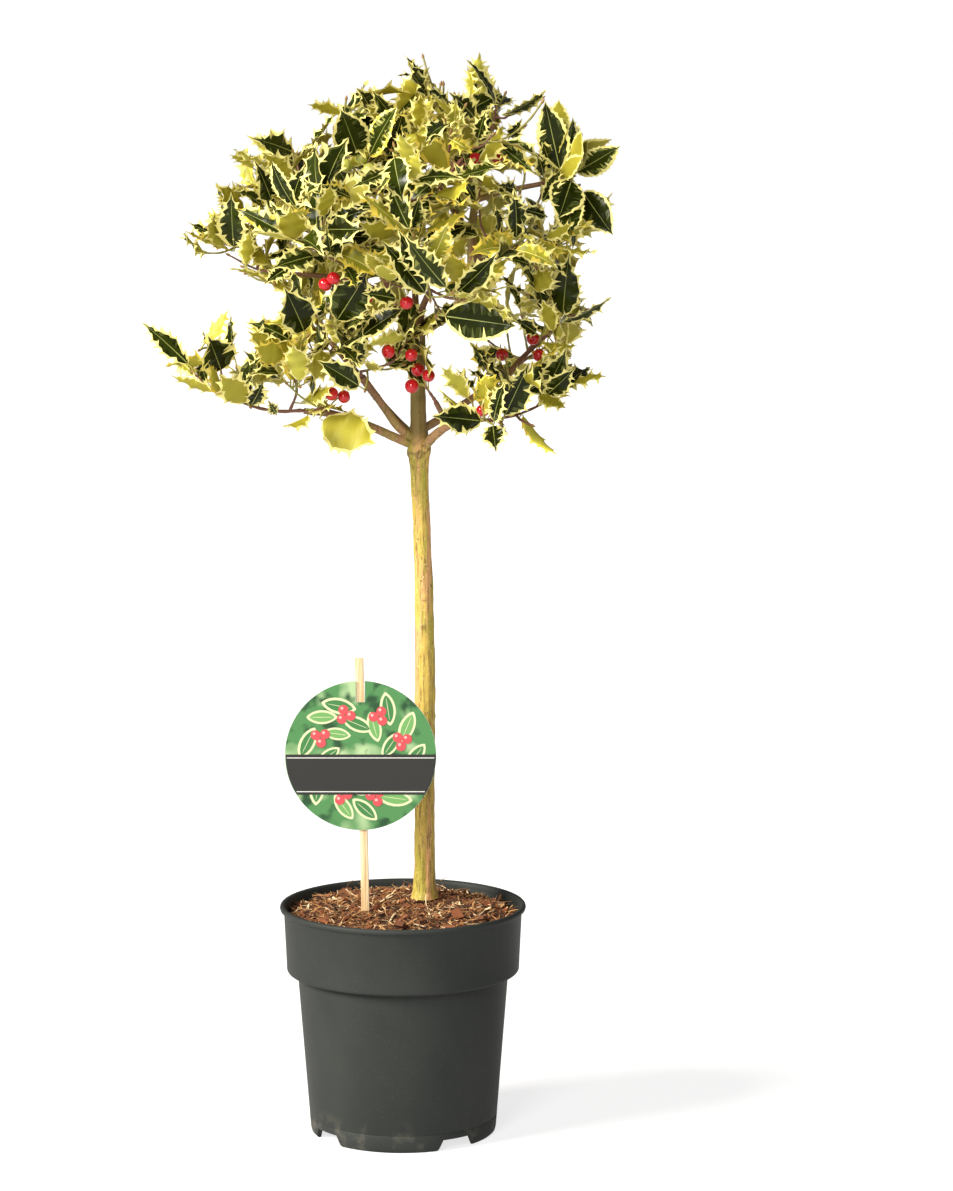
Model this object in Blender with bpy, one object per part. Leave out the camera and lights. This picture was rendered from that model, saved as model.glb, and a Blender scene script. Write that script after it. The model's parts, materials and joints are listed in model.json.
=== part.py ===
"""A standard holly tree with cream-edged leaves and red berries, in a round nursery pot.

The pot stands on the plane z = 0 with its axis on the origin. -Y is the front.
Every sub-part is one closed solid, and neighbours stay GAP clear of each other.
"""

import math
import random
from dataclasses import dataclass

import bmesh
import bpy
from mathutils import Euler, Matrix, Vector
from mathutils.bvhtree import BVHTree

MM = 0.001
GAP = 0.3 * MM
WELD = 0.002 * MM
UP = Vector((0.0, 0.0, 1.0))
GOLDEN_ANGLE = math.radians(137.5)

# Pot: a moulded container of about five litres
POT_HEIGHT = 197.2 * MM
LIP_RADIUS = 105.0 * MM
COLLAR_TOP_RADIUS = 101.5 * MM
COLLAR_FOOT_RADIUS = 99.3 * MM
COLLAR_FOOT = 140.0 * MM
BODY_TOP_RADIUS = 90.0 * MM
BODY_FOOT_RADIUS = 79.6 * MM
FOOT_RADIUS = 77.5 * MM
FOOT_HEIGHT = 10.0 * MM
WALL = 1.8 * MM
PAD_RADIUS = 12.0 * MM
POT_SIDES = 24
NOTCHES = 4
NOTCH_ANGLE = math.radians(28.0)
NOTCH_TURN = math.radians(-54.0)

# Compost: level round the stem, a little lower at the wall
SOIL_TOP = 197.5 * MM
SOIL_EDGE = 186.0 * MM
SOIL_LEVEL_RADIUS = 50.0 * MM
SOIL_GAP = 0.4 * MM

# Stem, from its cut at the compost to the fork: place and radius of each station, in millimetres
TRUNK_SIDES = 10
TRUNK_FOOT = SOIL_TOP + GAP
TRUNK_STATIONS = (
    ((18.0, 22.0), 0.0, 12.2),
    ((18.0, 21.8), 7.0, 10.2),
    ((18.2, 21.5), 24.0, 9.0),
    ((18.6, 21.0), 102.0, 8.6),
    ((19.0, 20.0), 215.0, 8.3),
    ((17.8, 18.0), 285.0, 7.6),
    ((15.4, 15.0), 345.0, 7.2),
    ((14.4, 13.5), 374.0, 8.0),
    ((14.0, 13.0), 386.0, 10.2),
    ((13.8, 12.8), 397.0, 9.0),
    ((13.6, 12.4), 409.0, 6.9),
    ((13.4, 11.4), 447.0, 6.5),
    ((13.0, 10.4), 474.0, 6.7),
    ((13.0, 10.0), 487.0, 6.3),
)

BOUGH_SIDES = 5
STEPS_PER_SPAN = 2
STEPS_PER_TWIG_SPAN = 1

# Leaves and twigs, at the size that the tree bears
LEAF_LENGTHS = (48.0 * MM, 63.0 * MM)
LEAF_WIDTH_SHARE = 0.54
LEAF_HALF_THICKNESS = 0.7 * MM
LEAF_DROOP = 0.12
ROOT_DEPTH = 0.4 * MM
ROOT_SHARED = 1.6 * MM
LEAF_MIDDLE = 0.54
# Along, half width and lift of the points of one leaf edge, as shares of length and width
LEAF_EDGE = ((0.30, 0.86, 0.10), (0.46, 0.66, -0.03), (0.68, 0.80, 0.13))
TWIG_ROOT_RADIUS = 1.7 * MM
TWIG_TIP_RADIUS = 1.0 * MM
SHOOT_ROOT_RADIUS = 1.25 * MM
LEAF_SPACING = 24.0 * MM
BARE_TWIG = 9.0 * MM
TWIG_LEAN = math.radians(66.0)
TWIG_LEAN_LOSS = math.radians(16.0)
TIP_LEANS = (math.radians(12.0), math.radians(42.0), math.radians(48.0))
TIP_SPACING = 3.2 * MM
LEAN_SPREAD = 0.2
LEAF_TRIES = 9
TRY_TURN = 0.7
TRY_SHRINK = 0.035
WIDTH_SPREAD = (0.9, 1.1)
# How strongly a leaf faces along its twig, out from the stem and up to the sky, and how far that varies
FACE_ALONG = 0.3
FACE_OUT = 0.55
FACE_UP = 0.45
FACE_SPREAD = 0.42
SIDE_SHOOT_LENGTHS = (20.0 * MM, 34.0 * MM)
SIDE_SHOOT_TRIES = 6
SIDE_SHOOT_SHARES = (0.3, 0.75)
SIDE_SHOOT_SPREAD = 0.75
SIDE_SHOOT_LIFT = 0.25
SIDE_SHOOT_BEND = 0.3
STEM_START = 3.0 * MM
SHOOT_SHARES = (0.12, 0.94)
SHOOT_STEPS = 24
CLEARANCE = 0.6 * MM
BERRY_RADIUS = 5.8 * MM
BERRY_STALK_RADIUS = 0.9 * MM
FUSE_SOLVERS = ("EXACT", "MANIFOLD", "EXACT", "EXACT")

# The crown's reach at each height, in millimetres: height, furthest left and furthest right
CROWN_OUTLINE = (
    (575, 60, 135),
    (594, -75, 135),
    (618, -132, 140),
    (643, -182, 160),
    (668, -207, 155),
    (693, -216, 168),
    (722, -150, 160),
    (743, -160, 155),
    (768, -184, 177),
    (793, -165, 180),
    (843, -140, 183),
    (868, -82, 140),
    (893, -40, 125),
    (914, -10, 75),
)
CROWN_AXIS = Vector((13.0, 10.0, 0.0)) * MM
CROWN_DEPTH = 170.0 * MM
CROWN_ROUNDNESS = 2.6

# Round tag on its wooden stick
TAG_RADIUS = 63.6 * MM
TAG_THICKNESS = 0.9 * MM
TAG_CENTRE = Vector((-34.6, -33.2, 331.0)) * MM
TAG_NOTCH_DEPTH = 18.0 * MM
TAG_SIDES = 24
STICK_WIDTH = 7.0 * MM
STICK_THICKNESS = 2.6 * MM
STICK_FOOT = Vector((-31.0, -31.0, 0.0)) * MM
STICK_LEAN = math.radians(-1.2)
STICK_TOP = 413.5 * MM


@dataclass(frozen=True)
class Bough:
    """One tapering limb: its radii at root and tip, and the places that it runs through, in millimetres."""

    name: str
    root: float
    tip: float
    through: tuple


@dataclass(frozen=True)
class Spray:
    """One mass of foliage: the bough that it grows on from, its stem, named shoots and berries."""

    name: str
    bough: str
    seed: int
    stem: tuple
    shoots: tuple = ()
    berries: tuple = ()
    side_shoots: int = 1


BOUGHS = (
    Bough("bough_low_left", 4.2, 2.5,
          ((14, 13, 587), (-6, 4, 596), (-28, -8, 607), (-53, -16, 616), (-81, -20, 620))),
    Bough("bough_left_spur", 3.2, 2.4,
          ((-43, -12, 612), (-50, -22, 616), (-60, -31, 620))),
    Bough("bough_mid_left", 4.0, 2.8,
          ((13, 12, 592), (-2, 3, 604), (-15, -9, 623), (-26, -21, 640), (-32, -27, 649))),
    Bough("bough_low_right", 4.4, 2.8,
          ((16, 12, 584), (27, 3, 597), (38, -6, 606), (50, -12, 611), (64, -18, 612))),
    Bough("bough_right_spur", 2.6, 2.2,
          ((39, -6, 606), (34, -14, 617), (29, -18, 627))),
    Bough("bough_right_reach", 2.6, 1.9,
          ((55, -14, 612), (72, -10, 626), (87, -7, 645), (99, -4, 661), (116, 0, 677))),
    Bough("bough_low_back_left", 3.8, 2.4,
          ((14, 13, 592), (-9, 31, 612), (-35, 52, 642), (-62, 70, 672))),
    Bough("bough_low_back_right", 3.8, 2.4,
          ((14, 13, 600), (40, 34, 614), (72, 58, 634), (98, 78, 652))),
    Bough("bough_front", 3.6, 2.4,
          ((13, 11, 672), (15, -12, 688), (18, -50, 706), (24, -84, 721))),
    Bough("leader_left", 5.0, 2.8,
          ((13, 10, 683), (2, 5, 702), (-13, -1, 728), (-26, -6, 752), (-36, -10, 774))),
    Bough("leader_right", 5.2, 2.6,
          ((13, 10, 683), (28, 7, 692), (47, 4, 706), (58, 6, 735), (59, 9, 770), (64, 10, 806),
          (72, 10, 836))),
    Bough("leader_top", 3.0, 2.2,
          ((-10, 0, 724), (0, -6, 748), (8, -10, 772), (22, -6, 790), (31, -1, 800))),
    Bough("bough_back", 3.6, 2.2,
          ((13, 11, 668), (12, 40, 692), (10, 76, 718), (9, 106, 736))),
    Bough("bough_left_reach", 2.9, 2.0,
          ((-3, 3, 710), (-26, -2, 722), (-54, -6, 730), (-82, -10, 733))),
    Bough("bough_left_front", 2.7, 2.0,
          ((-20, -3, 741), (-34, -32, 749), (-47, -58, 751), (-60, -77, 752))),
    Bough("bough_back_left", 2.9, 2.0,
          ((-17, -3, 735), (-32, 30, 745), (-50, 56, 754), (-66, 78, 760))),
    Bough("bough_upper_left", 2.4, 1.9,
          ((-30, -8, 760), (-46, -4, 771), (-69, 0, 782))),
    Bough("bough_upper_right", 2.6, 2.0,
          ((62, 10, 794), (80, 6, 800), (98, 3, 804), (118, 0, 808))),
    Bough("bough_right_back", 2.7, 2.0,
          ((58, 7, 740), (78, 34, 746), (104, 76, 750))),
    Bough("bough_right_front", 2.7, 2.0,
          ((53, 5, 718), (58, -24, 738), (68, -57, 754))),
    Bough("bough_upper_front", 2.4, 1.9,
          ((2, -7, 754), (2, -44, 770), (5, -77, 783))),
    Bough("bough_upper_back", 2.7, 2.0,
          ((59, 8, 762), (46, 48, 782), (32, 96, 800))),
    Bough("bough_high_front", 2.2, 1.8,
          ((24, -5, 792), (30, -30, 808), (36, -54, 822))),
    Bough("bough_high_back", 2.3, 1.8,
          ((66, 10, 812), (60, 34, 824), (50, 62, 836))),
)

SPRAYS = (
    Spray("spray_low_left", "bough_low_left", 11,
          ((-101, -24, 620), (-122, -28, 624), (-140, -30, 632), (-157, -32, 639), (-171, -33, 652)),
          (((-87, -20, 636), (-91, -18, 650), (-104, -14, 664)), ((-149, -24, 650), (-156, -20, 672)))),
    Spray("spray_left_spur", "bough_left_spur", 12,
          ((-65, -38, 624), (-72, -44, 622)), (), ((-47, -34, 633), (-57, -43, 636))),
    Spray("spray_mid_left", "bough_mid_left", 13,
          ((-42, -30, 655), (-53, -31, 661), (-76, -34, 673)),
          (((-20, -34, 657), (-6, -37, 663), (6, -36, 680)), ((-52, -44, 680),)),
          ((-10, -44, 671), (9, -42, 668))),
    Spray("spray_low_right", "bough_low_right", 14,
          ((82, -24, 614), (99, -24, 618), (118, -16, 626), (132, -8, 636)),
          (((86, -38, 630), (90, -44, 645)), ((99, -36, 614), (108, -40, 610)),
          ((74, -36, 612), (66, -44, 616))),
          ((84, -22, 667), (68, -28, 621))),
    Spray("spray_knuckle", "bough_right_spur", 15,
          ((24, -19, 635), (21, -20, 640)), (), ((23, -27, 650), (14, -15, 654), (9, -25, 641)),
          side_shoots=0),
    Spray("spray_right_reach", "bough_right_reach", 16,
          ((126, 0, 685), (134, 0, 696), (137, 0, 709)),
          (((146, 5, 698), (154, 8, 702)), ((122, -12, 692), (118, -18, 700))),
          ((115, -14, 666), (110, -12, 680))),
    Spray("spray_low_back_left", "bough_low_back_left", 17,
          ((-76, 82, 682), (-90, 94, 690)), (((-70, 60, 692), (-82, 50, 700)),
          ((-60, 92, 690), (-50, 104, 696)))),
    Spray("spray_low_back_right", "bough_low_back_right", 18,
          ((112, 92, 660), (126, 104, 668)), (((108, 60, 668), (118, 48, 676)),
          ((84, 96, 664), (74, 110, 670)))),
    Spray("spray_front", "bough_front", 19,
          ((23, -96, 728), (20, -112, 738)),
          (((38, -98, 718), (52, -106, 716)), ((4, -98, 726), (-12, -104, 732)), ((32, -84, 708),)),
          ((6, -84, 713), (-26, -80, 718))),
    Spray("spray_leader_left", "leader_left", 20,
          ((-33, -13, 796), (-28, -14, 818), (-24, -10, 836)),
          (((-44, -8, 820), (-55, -2, 852)), ((-24, 0, 848), (-24, 5, 866))),
          ((-32, -34, 829), (-44, -35, 823), (-25, -38, 820))),
    Spray("spray_leader_right", "leader_right", 21,
          ((76, 8, 852), (79, 6, 870)), (((86, 4, 862), (92, 0, 867)), ((64, 20, 858), (57, 26, 870))),
          ((80, -6, 830), (62, -2, 828))),
    Spray("spray_leader_top", "leader_top", 22,
          ((33, 0, 824), (29, 0, 854), (22, 0, 877)), (((44, -12, 850), (50, -14, 870)),
          ((12, -20, 842), (0, -24, 858)))),
    Spray("spray_back", "bough_back", 23,
          ((6, 124, 746), (2, 142, 756)), (((34, 122, 744), (46, 130, 750)),
          ((-24, 122, 742), (-36, 132, 748)))),
    Spray("spray_left_reach", "bough_left_reach", 24,
          ((-104, -12, 735), (-121, -14, 738), (-142, -18, 749)), (((-116, -10, 753), (-133, -14, 762)),)),
    Spray("spray_left_front", "bough_left_front", 25,
          ((-72, -94, 759), (-84, -106, 764)), (((-58, -98, 772),), ((-44, -96, 744),)),
          ((-60, -84, 728), (-53, -90, 733))),
    Spray("spray_back_left", "bough_back_left", 26,
          ((-82, 94, 766), (-102, 108, 773)), (((-64, 98, 790),), ((-92, 66, 770), (-108, 56, 776)))),
    Spray("spray_upper_left", "bough_upper_left", 27,
          ((-84, -4, 794), (-98, -6, 811), (-108, -6, 826)),
          (((-85, 10, 811), (-88, 16, 828)), ((-108, 2, 796), (-128, 0, 803)))),
    Spray("spray_upper_right", "bough_upper_right", 28,
          ((131, 0, 813), (142, -2, 814)), (((129, 2, 823),), ((140, -10, 804),))),
    Spray("spray_right_back", "bough_right_back", 29,
          ((118, 88, 756), (140, 96, 764)), (((112, 90, 778), (118, 94, 796)),
          ((132, 58, 758), (142, 44, 764)))),
    Spray("spray_right_front", "bough_right_front", 30,
          ((80, -74, 760), (94, -86, 760)), (((67, -70, 774), (65, -78, 790)),
          ((100, -52, 756), (118, -48, 760)))),
    Spray("spray_upper_front", "bough_upper_front", 31,
          ((3, -92, 796), (1, -104, 812)), (((-12, -98, 788),), ((26, -88, 800), (38, -90, 812)))),
    Spray("spray_upper_back", "bough_upper_back", 32,
          ((30, 112, 814), (27, 126, 836)), (((56, 104, 812), (70, 100, 824)),
          ((4, 104, 816), (-10, 100, 828)))),
    Spray("spray_high_front", "bough_high_front", 33,
          ((40, -66, 834), (42, -72, 850)), (((64, -62, 838), (76, -60, 848)),)),
    Spray("spray_high_back", "bough_high_back", 34,
          ((46, 72, 848), (40, 76, 864)), (((20, 70, 850), (8, 66, 862)),)),
)


def clear_scene():
    """Empties the file's first scene."""
    for found in list(bpy.data.objects):
        bpy.data.objects.remove(found)


def finish_of(name, colour, roughness, metallic=0.0):
    """A plain finish for one kind of sub-part."""
    material = bpy.data.materials.new(name)
    material.use_nodes = True
    shader = material.node_tree.nodes["Principled BSDF"]
    shader.inputs["Base Color"].default_value = (*colour, 1.0)
    shader.inputs["Roughness"].default_value = roughness
    shader.inputs["Metallic"].default_value = metallic
    material.diffuse_color = (*colour, 1.0)
    return material


def object_from(name, shape, material, collection=None):
    """Turns a bmesh into an object with one material, and frees the bmesh."""
    mesh = bpy.data.meshes.new(name)
    shape.to_mesh(mesh)
    shape.free()
    mesh.materials.append(material)
    made = bpy.data.objects.new(name, mesh)
    (collection or bpy.context.scene.collection).objects.link(made)
    return made


def turned(profile, sides):
    """A solid of revolution from (radius, height) points that start and end on the axis."""
    shape = bmesh.new()
    points = [shape.verts.new((radius, 0.0, height)) for radius, height in profile]
    edges = [shape.edges.new(pair) for pair in zip(points, points[1:])]
    bmesh.ops.spin(shape, geom=points + edges, cent=(0, 0, 0), axis=UP, angle=math.tau, steps=sides)
    bmesh.ops.remove_doubles(shape, verts=shape.verts, dist=0.001 * MM)
    bmesh.ops.recalc_face_normals(shape, faces=shape.faces)
    return shape


def smooth_path(points, steps):
    """A curve through the points, in metres, with a number of steps to each span."""
    ends = [points[0] * 2 - points[1], *points, points[-1] * 2 - points[-2]]
    path = []
    for before, start, end, after in zip(ends, ends[1:], ends[2:], ends[3:]):
        for step in range(steps):
            t = step / steps
            path.append(
                0.5 * (2 * start + (end - before) * t
                       + (2 * before - 5 * start + 4 * end - after) * t ** 2
                       + (3 * start - before - 3 * end + after) * t ** 3)
            )
    path.append(points[-1].copy())
    return path


def tangent_at(path, index):
    """The direction of the path at one of its points."""
    return (path[min(index + 1, len(path) - 1)] - path[max(index - 1, 0)]).normalized()


def lengths_along(path):
    """The distance of each point from the path's start."""
    run = [0.0]
    for start, end in zip(path, path[1:]):
        run.append(run[-1] + (end - start).length)
    return run


def point_at(path, distance):
    """The place and direction at a distance along the path."""
    run = lengths_along(path)
    for index in range(len(path) - 1):
        if distance <= run[index + 1] or index == len(path) - 2:
            share = (distance - run[index]) / (run[index + 1] - run[index])
            return path[index].lerp(path[index + 1], share), (path[index + 1] - path[index]).normalized()


def turn_along(direction, upwards):
    """A turn whose X runs along the direction and whose Z is as near upwards as it can be."""
    x = direction.normalized()
    z = upwards - x * upwards.dot(x)
    if z.length < 1e-4:
        z = x.orthogonal()
    z.normalize()
    return Matrix((x, z.cross(x), z)).transposed().to_4x4()


def limb(path, radii, sides, level_foot=False):
    """A tapering limb along the path: a ring that is extruded from station to station."""
    shape = bmesh.new()
    bmesh.ops.create_circle(shape, cap_ends=True, radius=1.0, segments=sides)
    side = UP if abs(tangent_at(path, 0).z) < 0.9 else Vector((0.0, -1.0, 0.0))
    placed = Matrix()
    for index, (place, radius) in enumerate(zip(path, radii)):
        along = UP if level_foot and index == 0 else tangent_at(path, index)
        side = (side - along * side.dot(along)).normalized()
        turn = Matrix((side, along.cross(side), along)).transposed().to_4x4()
        station = Matrix.Translation(place) @ turn @ Matrix.Diagonal((radius, radius, radius, 1.0))
        if index == 0:
            moving = shape.verts[:]
            cap = shape.faces[:][0]
        else:
            grown = bmesh.ops.extrude_face_region(shape, geom=[cap])["geom"]
            moving = [item for item in grown if isinstance(item, bmesh.types.BMVert)]
            if index > 1:
                bmesh.ops.delete(shape, geom=[cap], context="FACES_ONLY")
            cap = next(item for item in grown if isinstance(item, bmesh.types.BMFace))
        bmesh.ops.transform(shape, matrix=station @ placed.inverted(), verts=moving)
        placed = station
    bmesh.ops.recalc_face_normals(shape, faces=shape.faces)
    return shape


def tapered(path, root, tip):
    """Radii that fall evenly along the path."""
    run = lengths_along(path)
    return [root + (tip - root) * distance / run[-1] for distance in run]


def largest_body(mesh):
    """Keeps the biggest closed piece of a mesh, which drops loose scraps and fills sealed hollows."""
    shape = bmesh.new()
    shape.from_mesh(mesh)
    bmesh.ops.remove_doubles(shape, verts=shape.verts, dist=WELD)
    waiting = set(shape.faces)
    bodies = []
    while waiting:
        front = [waiting.pop()]
        body = set(front)
        while front:
            for edge in front.pop().edges:
                for face in edge.link_faces:
                    if face in waiting:
                        waiting.discard(face)
                        body.add(face)
                        front.append(face)
        bodies.append(body)
    bodies.sort(key=len)
    scraps = [face for body in bodies[:-1] for face in body]
    bmesh.ops.delete(shape, geom=scraps, context="FACES")
    sound = all(edge.is_manifold for edge in shape.edges)
    shape.to_mesh(mesh)
    shape.free()
    return sound


def apply_boolean(body, others, operation, solver="EXACT"):
    """Joins the other objects to the body, or cuts them from it, and removes them."""
    group = bpy.data.collections.new("pieces")
    bpy.context.scene.collection.children.link(group)
    for other in others:
        for held in other.users_collection:
            held.objects.unlink(other)
        group.objects.link(other)
    step = body.modifiers.new("pieces", "BOOLEAN")
    step.operation = operation
    step.operand_type = "COLLECTION"
    step.collection = group
    step.solver = solver
    step.material_mode = "TRANSFER"
    bpy.context.view_layer.update()
    graph = bpy.context.evaluated_depsgraph_get()
    result = bpy.data.meshes.new_from_object(body.evaluated_get(graph))
    body.modifiers.clear()
    body.data = result
    sound = largest_body(result)
    for other in list(group.objects):
        bpy.data.objects.remove(other)
    bpy.data.collections.remove(group)
    return sound


def boughs_and_trunk(bark):
    """The stem and its boughs, each cut clear of the limbs before it, with their paths and radii by name."""
    paths = {"trunk": [Vector((x * MM, y * MM, TRUNK_FOOT + z * MM)) for (x, y), z, _ in TRUNK_STATIONS]}
    radii = {"trunk": [radius * MM for _, _, radius in TRUNK_STATIONS]}
    object_from("trunk", limb(paths["trunk"], radii["trunk"], TRUNK_SIDES, level_foot=True), bark)
    for bough in BOUGHS:
        path = smooth_path([Vector(place) * MM for place in bough.through], STEPS_PER_SPAN)
        widths = tapered(path, bough.root * MM, bough.tip * MM)
        shape = limb(path, widths, BOUGH_SIDES)
        found = BVHTree.FromBMesh(shape)
        body = object_from(bough.name, shape, bark)
        cutters = []
        for name in paths:
            sides = TRUNK_SIDES if name == "trunk" else BOUGH_SIDES
            swollen = [radius + GAP / math.cos(math.pi / sides) for radius in radii[name]]
            shape = limb(paths[name], swollen, sides)
            if found.overlap(BVHTree.FromBMesh(shape)):
                cutters.append(object_from("cutter", shape, bark))
            else:
                shape.free()
        if cutters:
            apply_boolean(body, cutters, "DIFFERENCE")
        paths[bough.name] = path
        radii[bough.name] = widths
    return paths, radii


def in_crown(place):
    """Whether a place lies within the crown's reach, which is about as deep as it is wide."""
    height = place.z / MM
    for (low, low_left, low_right), (high, high_left, high_right) in zip(CROWN_OUTLINE, CROWN_OUTLINE[1:]):
        if low <= height <= high:
            share = (height - low) / (high - low)
            left = (low_left + (high_left - low_left) * share) * MM
            right = (low_right + (high_right - low_right) * share) * MM
            half = (right - left) / 2
            across = abs(place.x - (left + right) / 2) / half
            deep = abs(place.y) / min(half, CROWN_DEPTH)
            return across ** CROWN_ROUNDNESS + deep ** CROWN_ROUNDNESS <= 1.0
    return False


def box_of(shape):
    """The lowest and the highest corner of a bmesh."""
    low = Vector(min(vert.co[axis] for vert in shape.verts) for axis in range(3))
    high = Vector(max(vert.co[axis] for vert in shape.verts) for axis in range(3))
    return low, high


class Space:
    """What stands in the crown so far, so that each new twig or leaf can keep clear of it."""

    def __init__(self):
        """An empty crown."""
        self.held = []

    def add(self, owner, shape):
        """Notes a body with the name of the node that it belongs to."""
        self.held.append((owner, *box_of(shape), BVHTree.FromBMesh(shape)))

    def meets(self, shape, owner, own):
        """Whether a shape meets a body of its own node, or else one of another node."""
        low, high = box_of(shape)
        tree = BVHTree.FromBMesh(shape)
        for held_owner, held_low, held_high, held_tree in self.held:
            if (held_owner == owner) != own:
                continue
            apart = any(low[axis] > held_high[axis] or high[axis] < held_low[axis] for axis in range(3))
            if not apart and tree.overlap(held_tree):
                return True
        return False


def leaf_shape(frame, length, width, start=-ROOT_DEPTH, swell=0.0):
    """A leaf: a lens with two spines to a side, narrowing to an upright edge that is sunk in the twig."""
    shape = bmesh.new()

    def at(x, y, z):
        share = x / length
        return shape.verts.new(frame @ Vector((x, y, z - LEAF_DROOP * length * share ** 2)))

    half = LEAF_HALF_THICKNESS + swell
    roots = [at(start, 0.0, face * half) for face in (1, -1)]
    middles = [at(length * LEAF_MIDDLE, 0.0, face * half) for face in (1, -1)]
    tip = at(length + swell * 2, 0.0, 0.0)
    for side in (1, -1):
        edge = [
            at(along * length, side * (width * 0.5 * out + swell), lift * width)
            for along, out, lift in LEAF_EDGE
        ]
        shape.faces.new((*roots, edge[0]))
        for root, middle in zip(roots, middles):
            shape.faces.new((root, edge[0], middle))
            for pair in zip(edge, edge[1:] + [tip]):
                shape.faces.new((middle, *pair))
    bmesh.ops.recalc_face_normals(shape, faces=shape.faces)
    return shape


def twig_shape(path, root, tip, swell=0.0):
    """A three-sided twig along the path."""
    return limb(path, [radius + swell for radius in tapered(path, root, tip)], 3)


@dataclass
class Twig:
    """One twig of a spray, with the azimuth that its first leaf takes."""

    path: list
    root: float
    turn: float


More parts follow.
